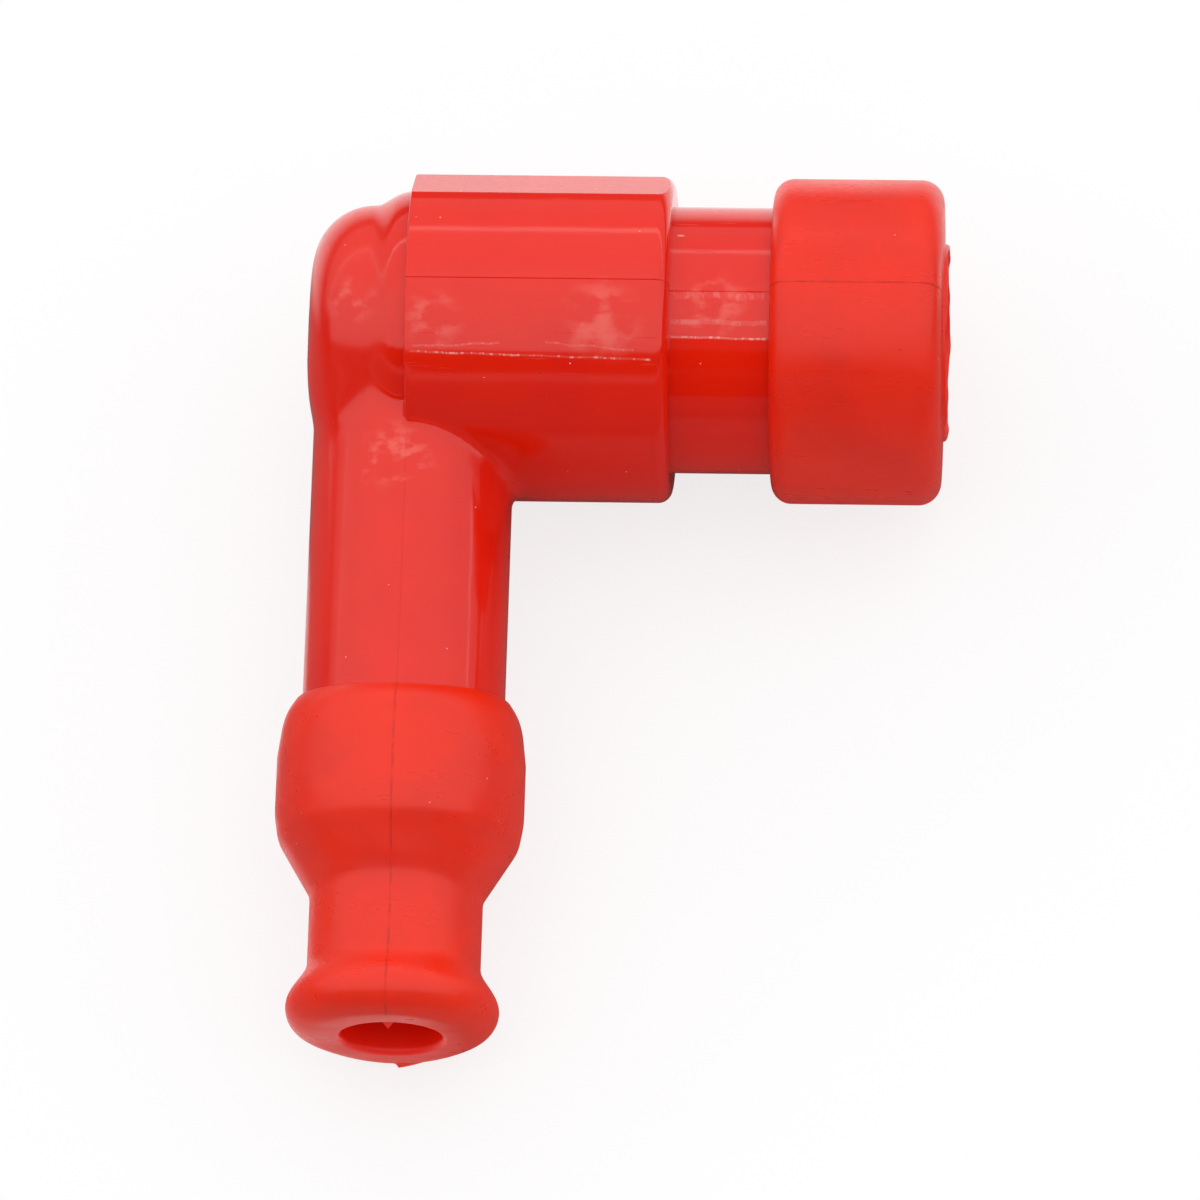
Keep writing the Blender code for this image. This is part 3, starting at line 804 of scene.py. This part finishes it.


# Wrinkled patches; their paler colour is a painted highlight.
RESIN_MARKS = (
    Mark((-0.7, -11.6, 6.9), 3.3, 0.010 * MM, 1.1),
    Mark((1.8, -3.0, 11.0), 2.6, 0.009 * MM, 0.9),
    Mark((13.4, -2.9, 11.0), 3.6, 0.007 * MM, 0.7),
    Mark((-4.0, -0.8, 9.0), 2.3, 0.008 * MM, 0.8),
    Mark((21.0, -1.0, 9.2), 3.0, 0.005 * MM, 0.9),
)
# Painted highlight lines on the barrel and the neck.
RESIN_GLINTS = (
    Glint((0.1, -5.07), (16.9, -5.42), 0.09, 0.6, 0.85),
    Glint((0.3, -4.75), (6.5, -4.5), 0.10, 0.22, 0.6, 0.06),
    Glint((9.5, -4.4), (15.8, -4.9), 0.10, 0.16, 0.6, 0.08),
    Glint((18.0, -3.2), (24.8, -3.3), 0.10, 0.65, 0.7),
    Glint((18.0, -2.2), (24.8, -2.25), 0.25, 0.20, 0.6, 0.05),
    Glint((18.2, -0.35), (24.6, -0.35), 0.35, 0.18, 0.8, 0.10),
    Glint((18.3, 4.6), (18.9, 4.6), 0.10, 0.7),
)
RESIN = MouldedFinish("red_resin", (0.82, 0.014, 0.002), 0.085, coat=0.15, glow=0.0, dull=0.11,
                      matt=(17.95, 24.95, -3.25, -6.7), marks=RESIN_MARKS, glints=RESIN_GLINTS)
SEAL_RUBBER = MouldedFinish("seal_silicone", (0.89, 0.021, 0.003), 0.27, seam="Y", ior=1.43,
                            shade=(0.80, 0.020, 0.006), waves=0.05 * MM, grain=0.0015 * MM,
                            scratches=0.0)
BOOT_RUBBER = MouldedFinish("boot_silicone", (0.89, 0.023, 0.003), 0.27, seam="X", ior=1.46,
                            shade=(0.80, 0.022, 0.007), waves=0.06 * MM, grain=0.0015 * MM,
                            scratches=0.0, bore=4.0)
BRASS: Triple = (0.72, 0.52, 0.20)
STEEL: Triple = (0.62, 0.62, 0.63)
NICKEL: Triple = (0.66, 0.65, 0.62)
STEEL_STAIN: Triple = (0.35, 0.33, 0.31)
NICKEL_STAIN: Triple = (0.42, 0.40, 0.36)
INNER_FINISHES = {
    "plug_terminal": MetalFinish("terminal_brass", BRASS, 0.26),
    "contact_block": MetalFinish("block_brass", BRASS, 0.32),
    "terminal_clip": MetalFinish("spring_steel", STEEL, 0.22, stain=STEEL_STAIN),
    "contact_spring": MetalFinish("contact_spring_steel", STEEL, 0.25, stain=STEEL_STAIN),
    "cable_screw": MetalFinish("screw_steel", STEEL, 0.28, stain=(0.40, 0.37, 0.30)),
    "resistor_front_cap": MetalFinish("nickel_plate", NICKEL, 0.24, stain=NICKEL_STAIN),
    "resistor_rear_cap": MetalFinish("nickel_plate_rear", NICKEL, 0.24, stain=NICKEL_STAIN),
    "resistor_rod": CeramicFinish("resistor_ceramic", (0.82, 0.80, 0.74), 0.5),
}


@dataclass
class ElbowBody:
    """The resin elbow: dome, shoulder ring, barrel with flats, neck, lead tube and bores."""

    dome_back: float = -7.35 * MM
    dome_radius: float = 9.18 * MM
    dome_corner: float = 4.25 * MM
    dome_crown: float = 0.1 * MM
    ring_leave: float = 112.0
    groove_length: float = 1.65 * MM
    ring_radius: float = 10.26 * MM
    ring_round: float = 3.46 * MM
    barrel_start: float = -0.2 * MM
    barrel_end: float = 17.95 * MM
    barrel_radius: float = 11.4 * MM
    barrel_corner: float = 0.95 * MM
    flat_edges: tuple[float, ...] = (41.0, 68.0, 112.0, 139.0)
    neck_radius: float = 9.3 * MM
    neck_end: float = 33.0 * MM
    ridge_start: float = 29.6 * MM
    ridge_radius: float = 9.75 * MM
    tube_radius: float = 7.0 * MM
    tube_end: float = 37.2 * MM
    bore_radius: float = 6.9 * MM
    terminal_bore: float = 4.8 * MM
    terminal_mouth: float = 21.5 * MM
    terminal_seat: float = 13.6 * MM
    contact_bore: float = 3.5 * MM
    contact_start: float = -3.9 * MM
    lead_bore: float = 3.9 * MM
    lead_bore_start: float = 6.2 * MM
    screw_passage: float = 1.8 * MM
    edge: float = 0.12 * MM
    core_edge: float = 0.35 * MM
    overlap: float = 0.6 * MM
    fillet: float = 0.5 * MM
    dome_fillet: float = 2.2 * MM
    corner_fillet: float = 1.2 * MM
    fillet_change: float = 4.0 * MM
    mesh_step: float = 0.3 * MM
    merge_reach: float = 0.05 * MM
    seam_half_width: float = 0.06 * MM
    seam_height: float = 0.035 * MM
    steps: int = 256
    tube_steps: int = 192
    bore_steps: int = 96

    def dome_outline(self) -> Outline:
        """Return the outline over the shoulder ring, the groove and the dome to the axis."""
        outline = arc((0.0, self.ring_radius - self.ring_round), self.ring_round, 92.0,
                      self.ring_leave)
        start, radius = outline[-1]
        slope = math.tan(math.radians(self.ring_leave - 90.0))
        for t in np.linspace(0.0, 1.0, 10)[1:]:
            ease = (3.0 - 2.0 * t) * t ** 2
            lean = slope * self.groove_length * t * (1.0 - t) ** 2
            outline.append((start - self.groove_length * t,
                            radius + (self.dome_radius - radius) * ease - lean))
        corner = (self.dome_back + self.dome_crown + self.dome_corner,
                  self.dome_radius - self.dome_corner)
        return outline + arc(corner, self.dome_corner, 90.0, 176.0, 20) + [(self.dome_back, 0.0)]

    def core(self) -> Piece:
        """Return the wide arm without its barrel."""
        rise = self.ridge_radius - self.neck_radius
        outline = [(self.neck_end, 0.0), (self.neck_end, self.neck_radius),
                   (self.neck_end - rise, self.ridge_radius),
                   (self.ridge_start, self.ridge_radius), (self.ridge_start, self.neck_radius),
                   (self.barrel_end - self.overlap, self.neck_radius),
                   (self.barrel_start + self.overlap, self.ring_radius)]
        outline = soften(outline + self.dome_outline(), self.core_edge)
        outline = divide(outline, self.mesh_step, self.dome_back, self.barrel_start)
        return Bench.turn("cap_elbow", outline, Arm.WIDE, self.steps)

    def barrel(self) -> Piece:
        """Return the barrel with a rounded end and its gripping flats."""
        centre = (self.barrel_end - self.barrel_corner, self.barrel_radius - self.barrel_corner)
        outline = [(self.barrel_end, 0.0)] + arc(centre, self.barrel_corner, 0.0, 90.0)
        start = [(self.barrel_start, self.barrel_radius), (self.barrel_start, 0.0)]
        outline += soften([outline[-1]] + start, self.edge)[1:]
        outline = divide(outline, self.mesh_step, self.barrel_start, self.tube_radius + 2.0 * MM)
        barrel = Bench.turn("barrel", outline, Arm.WIDE, self.steps)
        for low, high in zip(self.flat_edges, self.flat_edges[1:]):
            middle = math.radians((low + high) / 2.0)
            outward = Vector((0.0, math.sin(middle), math.cos(middle)))
            depth = self.barrel_radius * math.cos(math.radians(high - low) / 2.0)
            Bench.slice_flat(barrel, outward * depth, outward)
        return barrel

    def tube(self) -> Piece:
        """Return the tube for the lead."""
        outline = soften([(self.tube_end, 0.0), (self.tube_end, self.tube_radius),
                          (0.0, self.tube_radius), (0.0, 0.0)], 2.0 * self.edge)
        outline = divide(outline, self.mesh_step, 4.0 * MM, 15.0 * MM)
        return Bench.turn("tube", outline, Arm.SLENDER, self.tube_steps)

    def bores(self) -> list[Piece]:
        """Return the solids that are bored out of the elbow."""
        mouth = self.neck_end + self.overlap
        end = self.tube_end + self.overlap
        plug = [(mouth, 0.0), (mouth, self.bore_radius), (self.terminal_mouth, self.bore_radius),
                (self.terminal_mouth, self.terminal_bore),
                (self.terminal_seat, self.terminal_bore), (self.terminal_seat, self.contact_bore),
                (self.contact_start, self.contact_bore), (self.contact_start, 0.0)]
        lead = [(end, 0.0), (end, self.lead_bore), (self.lead_bore_start, self.lead_bore),
                (self.lead_bore_start, self.screw_passage), (0.0, self.screw_passage), (0.0, 0.0)]
        return [Bench.turn(name, soften(outline, self.edge), arm, self.bore_steps)
                for name, outline, arm in (("plug_bore", plug, Arm.WIDE),
                                           ("lead_hole", lead, Arm.SLENDER))]

    def root_distance(self, places: Rows) -> tuple[Rows, Rows]:
        """Return how far places lie outside the wide arm and outside the tube."""
        silhouette = [(self.barrel_end, 0.0), (self.barrel_end, self.barrel_radius),
                      (self.barrel_start, self.barrel_radius),
                      (self.barrel_start, self.ring_radius)]
        silhouette = soften(silhouette + self.dome_outline(), self.core_edge)
        radial = np.hypot(places[:, 1], places[:, 2])
        wide = outline_distance(np.column_stack([places[:, 0], radial]), silhouette)
        return wide, np.hypot(places[:, 0], places[:, 2]) - self.tube_radius

    def fill(self, places: Rows) -> Rows:
        """Return the distance to the elbow with a soft fillet between its arms.

        The fillet is widest on the dome's upper and lower side, nearly sharp on its outer
        side, and a little wider in the inner corner.

        Args:
            places: Places as rows.

        Returns:
            One signed distance a place.
        """
        wide, slender = self.root_distance(places)
        height = np.abs(places[:, 2]) / self.fillet_change
        left = np.clip((-places[:, 0] - 1.0 * MM) / self.fillet_change, 0.0, 1.0)
        dome = left * np.clip(height, 0.0, 1.0)
        side = left * np.clip(1.0 - height, 0.0, 1.0)
        corner = np.clip(places[:, 0] / (3.0 * MM), 0.0, 1.0) * np.clip(1.3 - height, 0.0, 1.0)
        reach = self.fillet * (1.0 - 0.85 * side) + (self.dome_fillet - self.fillet) * dome
        reach += (self.corner_fillet - self.fillet) * corner
        overlap = np.maximum(reach - np.abs(wide - slender), 0.0) / reach
        return np.minimum(wide, slender) - overlap ** 2 * reach / 4.0

    def root(self, places: Rows) -> Rows:
        """Return which places lie near the line where the tube leaves the wide arm."""
        wide, slender = self.root_distance(places)
        band = 1.2 * self.dome_fillet
        near = (np.abs(wide) < band) & (np.abs(slender) < band)
        return near & (np.minimum(wide, slender) > -self.merge_reach) & (places[:, 1] < 0.0)

    def inner_root(self, places: Rows) -> Rows:
        """Return which of those places lie under the barrel, clear of its sharp start."""
        return self.root(places) & (places[:, 0] > self.fillet)

    def soft_root(self, places: Rows) -> Rows:
        """Move the vertices near the tube's root on to the fillet between the arms.

        Args:
            places: The vertices' places as rows.

        Returns:
            The new places.
        """
        near = self.root(places)
        moved = places[near]
        probe = 0.01 * MM
        for _ in range(6):
            slope = np.column_stack([
                (self.fill(moved + step) - self.fill(moved - step)) / (2.0 * probe)
                for step in np.eye(3) * probe])
            size = np.maximum((slope ** 2).sum(axis=1), 0.2)
            moved = moved - slope * (self.fill(moved) / size)[:, None]
        result = places.copy()
        result[near] = moved
        return result

    def build(self) -> Piece:
        """Return the whole elbow in its own axes."""
        body = self.core()
        Bench.combine(body, self.barrel(), Cut.JOIN)
        Bench.combine(body, self.tube(), Cut.JOIN)
        for tool in self.bores():
            Bench.combine(body, tool, Cut.BORE)
        Bench.merge_near(body, self.root, self.merge_reach)
        Bench.reshape(body, self.soft_root)
        half = self.seam_half_width
        for across, inside in (
                (ACROSS_Y, lambda p: (p[:, 0] > self.barrel_start + half)
                 & (np.abs(p[:, 2]) > 9.0 * MM)),
                (ACROSS_X, lambda p: (p[:, 1] < -9.6 * MM)
                 & (np.abs(p[:, 2]) > self.tube_radius - half))):
            Bench.raise_seam(body, across, inside, half, self.seam_height)
        return body


@dataclass
class MouthSeal:
    """The silicone collar on the plug's mouth, with its wavy rim of flash."""

    start: float = 24.9 * MM
    end: float = 36.75 * MM
    radius: float = 11.35 * MM
    rear_round: float = 1.4 * MM
    front_round: float = 1.6 * MM
    rim_radius: float = 6.95 * MM
    rim_wall: float = 0.55 * MM
    rim_height: float = 0.45 * MM
    lip_radius: float = 5.6 * MM
    lip_back: float = 1.2 * MM
    lip_length: float = 0.6 * MM
    neck_fit: float = 9.6 * MM
    ridge_fit: float = 10.05 * MM
    ridge_start: float = 29.3 * MM
    ridge_end: float = 33.3 * MM
    bore_radius: float = 6.9 * MM
    edge: float = 0.2 * MM
    rim_waves: tuple[Triple, ...] = ((5.0, 0.7, 0.12), (11.0, 2.1, 0.07), (23.0, 0.0, 0.03))
    seam_half_width: float = 0.07 * MM
    seam_height: float = 0.03 * MM
    mesh_step: float = 0.8 * MM
    steps: int = 256

    def outline(self) -> Outline:
        """Return the collar's section: the outer side from the front, the inside, the rim."""
        front = (self.end - self.front_round, self.radius - self.front_round)
        rear = (self.start + self.rear_round, self.radius - self.rear_round)
        lip, top = self.end - self.lip_back, self.end + self.rim_height
        inside, draft = self.rim_radius - self.rim_wall, self.rim_wall / 4.0
        inner = [(self.start, self.neck_fit), (self.ridge_start, self.neck_fit),
                 (self.ridge_start, self.ridge_fit), (self.ridge_end, self.ridge_fit),
                 (self.ridge_end, self.bore_radius), (lip - self.lip_length, self.lip_radius),
                 (lip, self.lip_radius), (self.end, inside), (top, inside + draft),
                 (top, self.rim_radius - draft), (self.end, self.rim_radius)]
        return soften(arc(front, self.front_round, 0.0, 90.0, 16)
                      + arc(rear, self.rear_round, 90.0, 180.0, 16) + inner, self.edge, closed=True)

    def wavy_rim(self, places: Rows) -> Rows:
        """Let the rim of flash stand up unevenly round the mouth.

        Args:
            places: The vertices' places as rows.

        Returns:
            The new places.
        """
        result = places.copy()
        angle = np.arctan2(places[:, 1], places[:, 2])
        wave = sum(np.sin(turns * angle + phase) * size for turns, phase, size in self.rim_waves)
        height = np.maximum(places[:, 0] - self.end, 0.0)
        rim = (height > 0.0) & (np.hypot(places[:, 1], places[:, 2]) < self.rim_radius + self.edge)
        result[rim, 0] = self.end + height[rim] * np.clip(0.8 + wave[rim], 0.5, 1.0)
        return result

    def build(self) -> Piece:
        """Return the collar in the elbow's axes."""
        outline = divide(self.outline(), self.mesh_step, self.start, self.end)
        seal = Bench.turn("mouth_seal", outline, Arm.WIDE, self.steps, closed=True)
        Bench.reshape(seal, self.wavy_rim)
        Bench.raise_seam(seal, ACROSS_Y, lambda p: np.abs(p[:, 2]) > self.radius - self.front_round,
                         self.seam_half_width, self.seam_height)
        return seal


@dataclass
class LeadBoot:
    """The silicone boot for the lead, with its bulge, neck, bead and flash."""

    start: float = 27.55 * MM
    step: float = 0.5 * MM
    tube_radius: float = 7.0 * MM
    tube_end: float = 37.2 * MM
    clearance: float = 0.3 * MM
    shoulder_radius: float = 8.3 * MM
    shoulder_end: float = 29.3 * MM
    bulge_radius: float = 8.58 * MM
    bulge_start: float = 31.6 * MM
    bulge_end: float = 35.7 * MM
    bulge_edge_radius: float = 8.3 * MM
    bulge_edge_end: float = 37.4 * MM
    neck_start: float = 41.4 * MM
    neck_radius: float = 5.95 * MM
    bead_radius: float = 7.32 * MM
    bead_widest: float = 49.45 * MM
    bead_flare: float = 3.1 * MM
    bead_end: float = 51.5 * MM
    bead_flat: float = 0.045
    face_radius: float = 5.2 * MM
    hole_radius: float = 3.45 * MM
    hole_round: float = 0.45 * MM
    hole_length: float = 0.9 * MM
    bore_radius: float = 3.6 * MM
    lead_bore: float = 3.9 * MM
    dip: float = 0.8 * MM
    edge: float = 0.45 * MM
    notch_width: float = 0.42 * MM
    notch_depth: float = 0.75 * MM
    notch_reach: float = 0.3 * MM
    tab_length: float = 1.8 * MM
    tab_height: float = 0.34 * MM
    tab_radius: float = 5.95 * MM
    tab_wall: float = 0.3 * MM
    tab_lean: tuple[float, float] = (0.94, 0.34)
    seam_half_width: float = 0.07 * MM
    seam_height: float = 0.035 * MM
    mesh_step: float = 0.6 * MM
    steps: int = 240

    def outline(self) -> Outline:
        """Return the boot's section: the bead from its face, the outer side, the inside."""
        depth = self.bead_end - self.bead_widest
        rise = self.bead_radius - self.face_radius
        flare = self.bead_radius - self.neck_radius
        outline = [(self.bead_widest + depth * math.cos(angle),
                    self.face_radius + rise * math.sin(angle))
                   for angle in np.radians(np.linspace(0.0, 90.0, 24))]
        outline += [(self.bead_widest - self.bead_flare * (1.0 - angle / 90.0),
                     self.neck_radius + flare * math.sin(math.radians(angle)) ** 2)
                    for angle in np.linspace(90.0, 0.0, 16)[1:]]
        middle = (self.start + self.shoulder_end) / 2.0
        ring = self.tube_radius + self.step
        fit, seat = self.tube_radius + self.clearance, self.tube_end + self.clearance
        outline += [(self.neck_start, self.neck_radius),
                    (self.bulge_edge_end, self.bulge_edge_radius),
                    (self.bulge_end, self.bulge_radius), (self.bulge_start, self.bulge_radius),
                    (self.shoulder_end, self.shoulder_radius),
                    (middle, (self.shoulder_radius * 2.0 + ring) / 3.0), (self.start, ring),
                    (self.start, fit), (seat, fit), (seat, self.lead_bore),
                    (self.neck_start, self.bore_radius),
                    (self.bead_end - self.hole_length, self.hole_radius)]
        hole = (self.bead_end - self.hole_round, self.hole_radius + self.hole_round)
        return soften(outline + arc(hole, self.hole_round, 270.0, 360.0, 8), self.edge, closed=True)

    def settle(self, places: Rows) -> Rows:
        """Let the boot's edge dip on its upper side.

        Args:
            places: The vertices' places as rows.

        Returns:
            The new places.
        """
        result = places.copy()
        upper = np.clip(np.cos(np.arctan2(places[:, 0], places[:, 2])), 0.0, 1.0) ** 2
        near_edge = (self.bulge_start + places[:, 1]) / (self.bulge_start - self.start)
        result[:, 1] -= self.dip * upper * np.clip(near_edge, 0.0, 1.0) ** 1.5
        return result

    def flash(self, places: Rows) -> Rows:
        """Let a point of flash hang into the hole, and a thin tab stand under a flattened bead.

        Args:
            places: The vertices' places as rows.

        Returns:
            The new places.
        """
        result = places.copy()
        across, axial, upper = places[:, 0], -places[:, 1], places[:, 2] > 0.0
        radial = np.hypot(across, places[:, 2])
        point = np.clip(1.0 - np.abs(across) / self.notch_width, 0.0, 1.0)
        point[~upper | (radial >= self.hole_radius + 0.3 * self.hole_round)
              | (axial <= self.bead_end - self.hole_length)] = 0.0
        result[:, 2] -= self.notch_depth * point
        result[:, 1] -= self.notch_reach * point
        share = across / self.tab_length
        tab = np.clip(np.minimum(share * 8.0 + 0.3, 1.1 - share), 0.0, 1.0)
        tab *= np.clip(1.0 - np.abs(radial - self.tab_radius) / self.tab_wall, 0.0, 1.0)
        tab[upper | (axial < self.bead_widest)] = 0.0
        result[:, 1:] -= self.tab_height * tab[:, None] * np.array(self.tab_lean)
        under = np.arctan2(result[:, 0], -result[:, 2])
        flat = self.bead_flat * np.sin(2.0 * under) ** 2
        flat *= np.clip((axial - self.bead_widest + self.bead_flare) / self.bead_flare, 0.0, 1.0)
        flat[(result[:, 2] > 0.0) | (radial < self.face_radius * 0.9)] = 0.0
        result[:, [0, 2]] *= (1.0 - flat)[:, None]
        return result

    def build(self) -> Piece:
        """Return the boot in the elbow's axes."""
        outline = divide(self.outline(), self.mesh_step, self.start, self.bead_end)
        boot = Bench.turn("lead_boot", outline, Arm.SLENDER, self.steps, closed=True)
        Bench.reshape(boot, lambda places: self.flash(self.settle(places)))
        Bench.raise_seam(boot, ACROSS_X,
                         lambda p: (np.abs(p[:, 2]) > self.neck_radius - self.edge)
                         & ((p[:, 2] > 0.0) | (-p[:, 1] > self.neck_start))
                         & (-p[:, 1] < self.bead_end - self.edge),
                         self.seam_half_width, self.seam_height)
        return boot


@dataclass
class Cap:
    """The whole cap laid on the floor, with the finishes of its inner pieces."""

    def laid(self) -> Matrix:
        """Return the place of the elbow's axes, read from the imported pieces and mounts."""
        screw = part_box("cable_screw")
        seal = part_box("plug_seal")
        middle = Vector(((screw[0].x + screw[1].x) / 2.0, (seal[0].y + seal[1].y) / 2.0,
                         (seal[0].z + seal[1].z) / 2.0))
        mounts = {mount["name"]: mount for mount in frame["record"]["mounts"]}
        lead = Vector(mounts["lead_end_face"]["axis"])
        droop = math.atan2(-lead.z, -lead.y)
        return Matrix.Translation(middle) @ Matrix.Rotation(droop, 4, "X")

    def build(self) -> None:
        """Model the moulded pieces and dress the inner ones."""
        laid = self.laid()
        log.info("elbow axes at %s", tuple(round(v / MM, 2) for v in laid.to_translation()))
        elbow = ElbowBody()
        Bench.finish(elbow.build(), RESIN, "cap_body", "red_resin", laid, elbow.inner_root)
        Bench.finish(MouthSeal().build(), SEAL_RUBBER, "plug_seal", "seal_silicone", laid)
        Bench.finish(LeadBoot().build(), BOOT_RUBBER, "cable_boot", "boot_silicone", laid)
        for node, finish in INNER_FINISHES.items():
            finish.cover(frame["nodes"][node], laid)
            log.info("%s: dressed", node)


@dataclass
class Studio:
    """The floor, the soft light overhead and the camera.

    A paint is the grey that one kind of ray sees on the floor, a fade is the pair of distances
    over which one turns into the next, and a band is an angle from overhead, -90 degrees at the
    front, with its light. The halo is a painted pool of light on the floor beside the slender
    arm, which only glossy rays see.
    """

    lens: float = 300.0
    sensor: float = 36.0
    floor_size: float = 6.0
    floor_fade: tuple[float, float] = (0.05, 0.16)
    floor_turn: tuple[float, float] = (0.028, 0.036)
    halo_centre: Triple = (-0.0200, -0.0140, 0.0)
    halo_half: Triple = (0.0040, 0.0175, 0.01)
    halo_fade: tuple[float, float] = (0.003, 0.007)
    back_paint: float = 0.98
    front_paint: float = 0.97
    mirror_paint: float = 0.22
    halo_paint: float = 0.95
    dim_paint: float = 0.12
    shown_paint: float = 0.20
    shown_glow: float = 0.79
    fill: float = 0.27
    bands: tuple[tuple[float, float], ...] = (
        (-90.0, 0.15), (-58.0, 0.12), (-55.0, 0.36), (-52.0, 0.36), (-50.0, 0.02), (-35.0, 0.02),
        (-34.6, 1.08), (20.0, 1.04), (30.0, 0.90), (55.0, 0.85), (56.0, 2.0), (58.5, 2.0),
        (60.0, 0.65), (90.0, 0.55))
    side_limits: tuple[float, float] = (72.0, 80.0)
    side_level: float = 0.06

    def paint(self, wiring: Wiring, rays: bpy.types.bpy_prop_collection) -> Socket:
        """Return the floor's grey for every ray but the camera's.

        Args:
            wiring: The floor's nodes.
            rays: What kind of ray looks at it.

        Returns:
            The colour.
        """
        # Painted pool of light beside the slender arm, seen only by glossy rays on a darker floor.
        away = wiring.vector("SUBTRACT", wiring.place, self.halo_centre)
        away = wiring.vector("ABSOLUTE", away)
        outside = wiring.vector("MAXIMUM", wiring.vector("SUBTRACT", away, self.halo_half),
                                (0.0, 0.0, 0.0))
        halo = wiring.span(wiring.vector("LENGTH", outside), *self.halo_fade, 1.0, 0.0)
        mirrored = wiring.blend(halo, (self.mirror_paint,) * 3, (self.halo_paint,) * 3)
        front = wiring.blend(rays["Is Glossy Ray"], (self.front_paint,) * 3, mirrored)
        back = wiring.span(wiring.parts["Y"], *self.floor_turn)
        near = wiring.blend(back, front, (self.back_paint,) * 3)
        far = wiring.span(wiring.vector("LENGTH", wiring.place), *self.floor_fade)
        return wiring.blend(far, near, (self.dim_paint,) * 3)

    def floor(self) -> None:
        """Lay a pale floor that keeps the shadow and dims outside the view."""
        bpy.ops.object.select_all(action="DESELECT")
        bpy.ops.mesh.primitive_plane_add(size=self.floor_size, location=(0.0, 0.0, 0.0))
        floor = bpy.context.object
        floor.name = "floor"
        material = bpy.data.materials.new("pale_floor")
        material.use_nodes = True
        nodes = material.node_tree.nodes
        nodes.remove(nodes["Principled BSDF"])
        wiring = Wiring(material.node_tree)
        rays = wiring.add("ShaderNodeLightPath").outputs
        paint = wiring.feed_all(wiring.add("ShaderNodeBsdfDiffuse"), self.paint(wiring, rays))
        sheet = wiring.feed_all(wiring.add("ShaderNodeBsdfDiffuse"),
                                (*(self.shown_paint,) * 3, 1.0))
        glow = wiring.feed_all(wiring.add("ShaderNodeEmission"), (1.0,) * 4, self.shown_glow)
        shown = wiring.feed_all(wiring.add("ShaderNodeAddShader"), sheet.outputs[0],
                                glow.outputs[0])
        mixed = wiring.feed_all(wiring.add("ShaderNodeMixShader"), rays["Is Camera Ray"],
                                paint.outputs[0], shown.outputs[0])
        wiring.feed(nodes["Material Output"].inputs["Surface"], mixed.outputs[0])
        floor.data.materials.append(material)

    def light(self) -> None:
        """Make the surroundings: a wide soft light overhead and dim walls."""
        world = bpy.data.worlds.new("studio")
        world.use_nodes = True
        bpy.context.scene.world = world
        nodes = world.node_tree.nodes
        wiring = Wiring(world.node_tree, "Generated")
        lean = wiring.maths("ARCTAN2", wiring.parts["Y"], wiring.parts["Z"])
        half_turn = wiring.maths("MULTIPLY_ADD", lean, 1.0 / math.pi, 0.5)
        low, high = (math.sin(math.radians(limit)) for limit in self.side_limits)
        side = wiring.span(wiring.maths("ABSOLUTE", wiring.parts["X"]), low, high, 1.0,
                           self.side_level)
        rays = wiring.add("ShaderNodeLightPath").outputs
        fill = wiring.span(rays["Is Glossy Ray"], 0.0, 1.0, self.fill, 0.0)
        strength = wiring.maths("MULTIPLY_ADD", self.ramp(wiring, half_turn), side, fill)
        studio = wiring.feed_all(nodes["Background"], (1.0,) * 4, strength)
        white = wiring.feed_all(wiring.add("ShaderNodeBackground"), (1.0,) * 4)
        mixed = wiring.feed_all(wiring.add("ShaderNodeMixShader"), rays["Is Camera Ray"],
                                studio.outputs[0], white.outputs[0])
        wiring.feed(nodes["World Output"].inputs["Surface"], mixed.outputs[0])

    def ramp(self, wiring: Wiring, half_turn: Socket) -> Socket:
        """Return the level of the light bands.

        Args:
            wiring: The world's nodes.
            half_turn: Place from 0 at the front to 1 at the back.

        Returns:
            The level.
        """
        ramp = wiring.feed_all(wiring.add("ShaderNodeValToRGB"), half_turn)
        elements = ramp.color_ramp.elements
        elements.remove(elements[1])
        for i, (angle, level) in enumerate(self.bands):
            place = (angle + 90.0) / 180.0
            element = elements[0] if i == 0 else elements.new(place)
            element.position = place
            element.color = (level, level, level, 1.0)
        return ramp.outputs["Color"]

    def camera(self) -> None:
        """Set the camera where the photograph was taken from."""
        data = bpy.data.cameras.new("camera")
        data.lens = self.lens
        data.sensor_width = self.sensor
        camera = bpy.data.objects.new("camera", data)
        bpy.context.scene.collection.objects.link(camera)
        camera.matrix_world = Matrix((
            (0.998654, -0.012643, 0.050298, 0.033874),
            (0.032475, 0.90861, -0.416381, -0.287563),
            (-0.040437, 0.417454, 0.907798, 0.638665),
            (0.0, 0.0, 0.0, 1.0)))
        bpy.context.scene.camera = camera

    def build(self) -> None:
        """Make the whole studio."""
        self.floor()
        self.light()
        self.camera()
        bpy.context.scene.view_settings.view_transform = "Standard"
        log.info("studio ready")


def corners(box: tuple[Vector, Vector]) -> list[list[float]]:
    """Return a box's two corners as plain lists."""
    return [[float(v) for v in corner] for corner in box]


def main() -> None:
    """Build the cap and its studio."""
    logging.basicConfig(level=logging.INFO, format="%(name)s: %(message)s")
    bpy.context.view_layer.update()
    Studio().build()
    Cap().build()


if __name__ == "__main__":
    main()
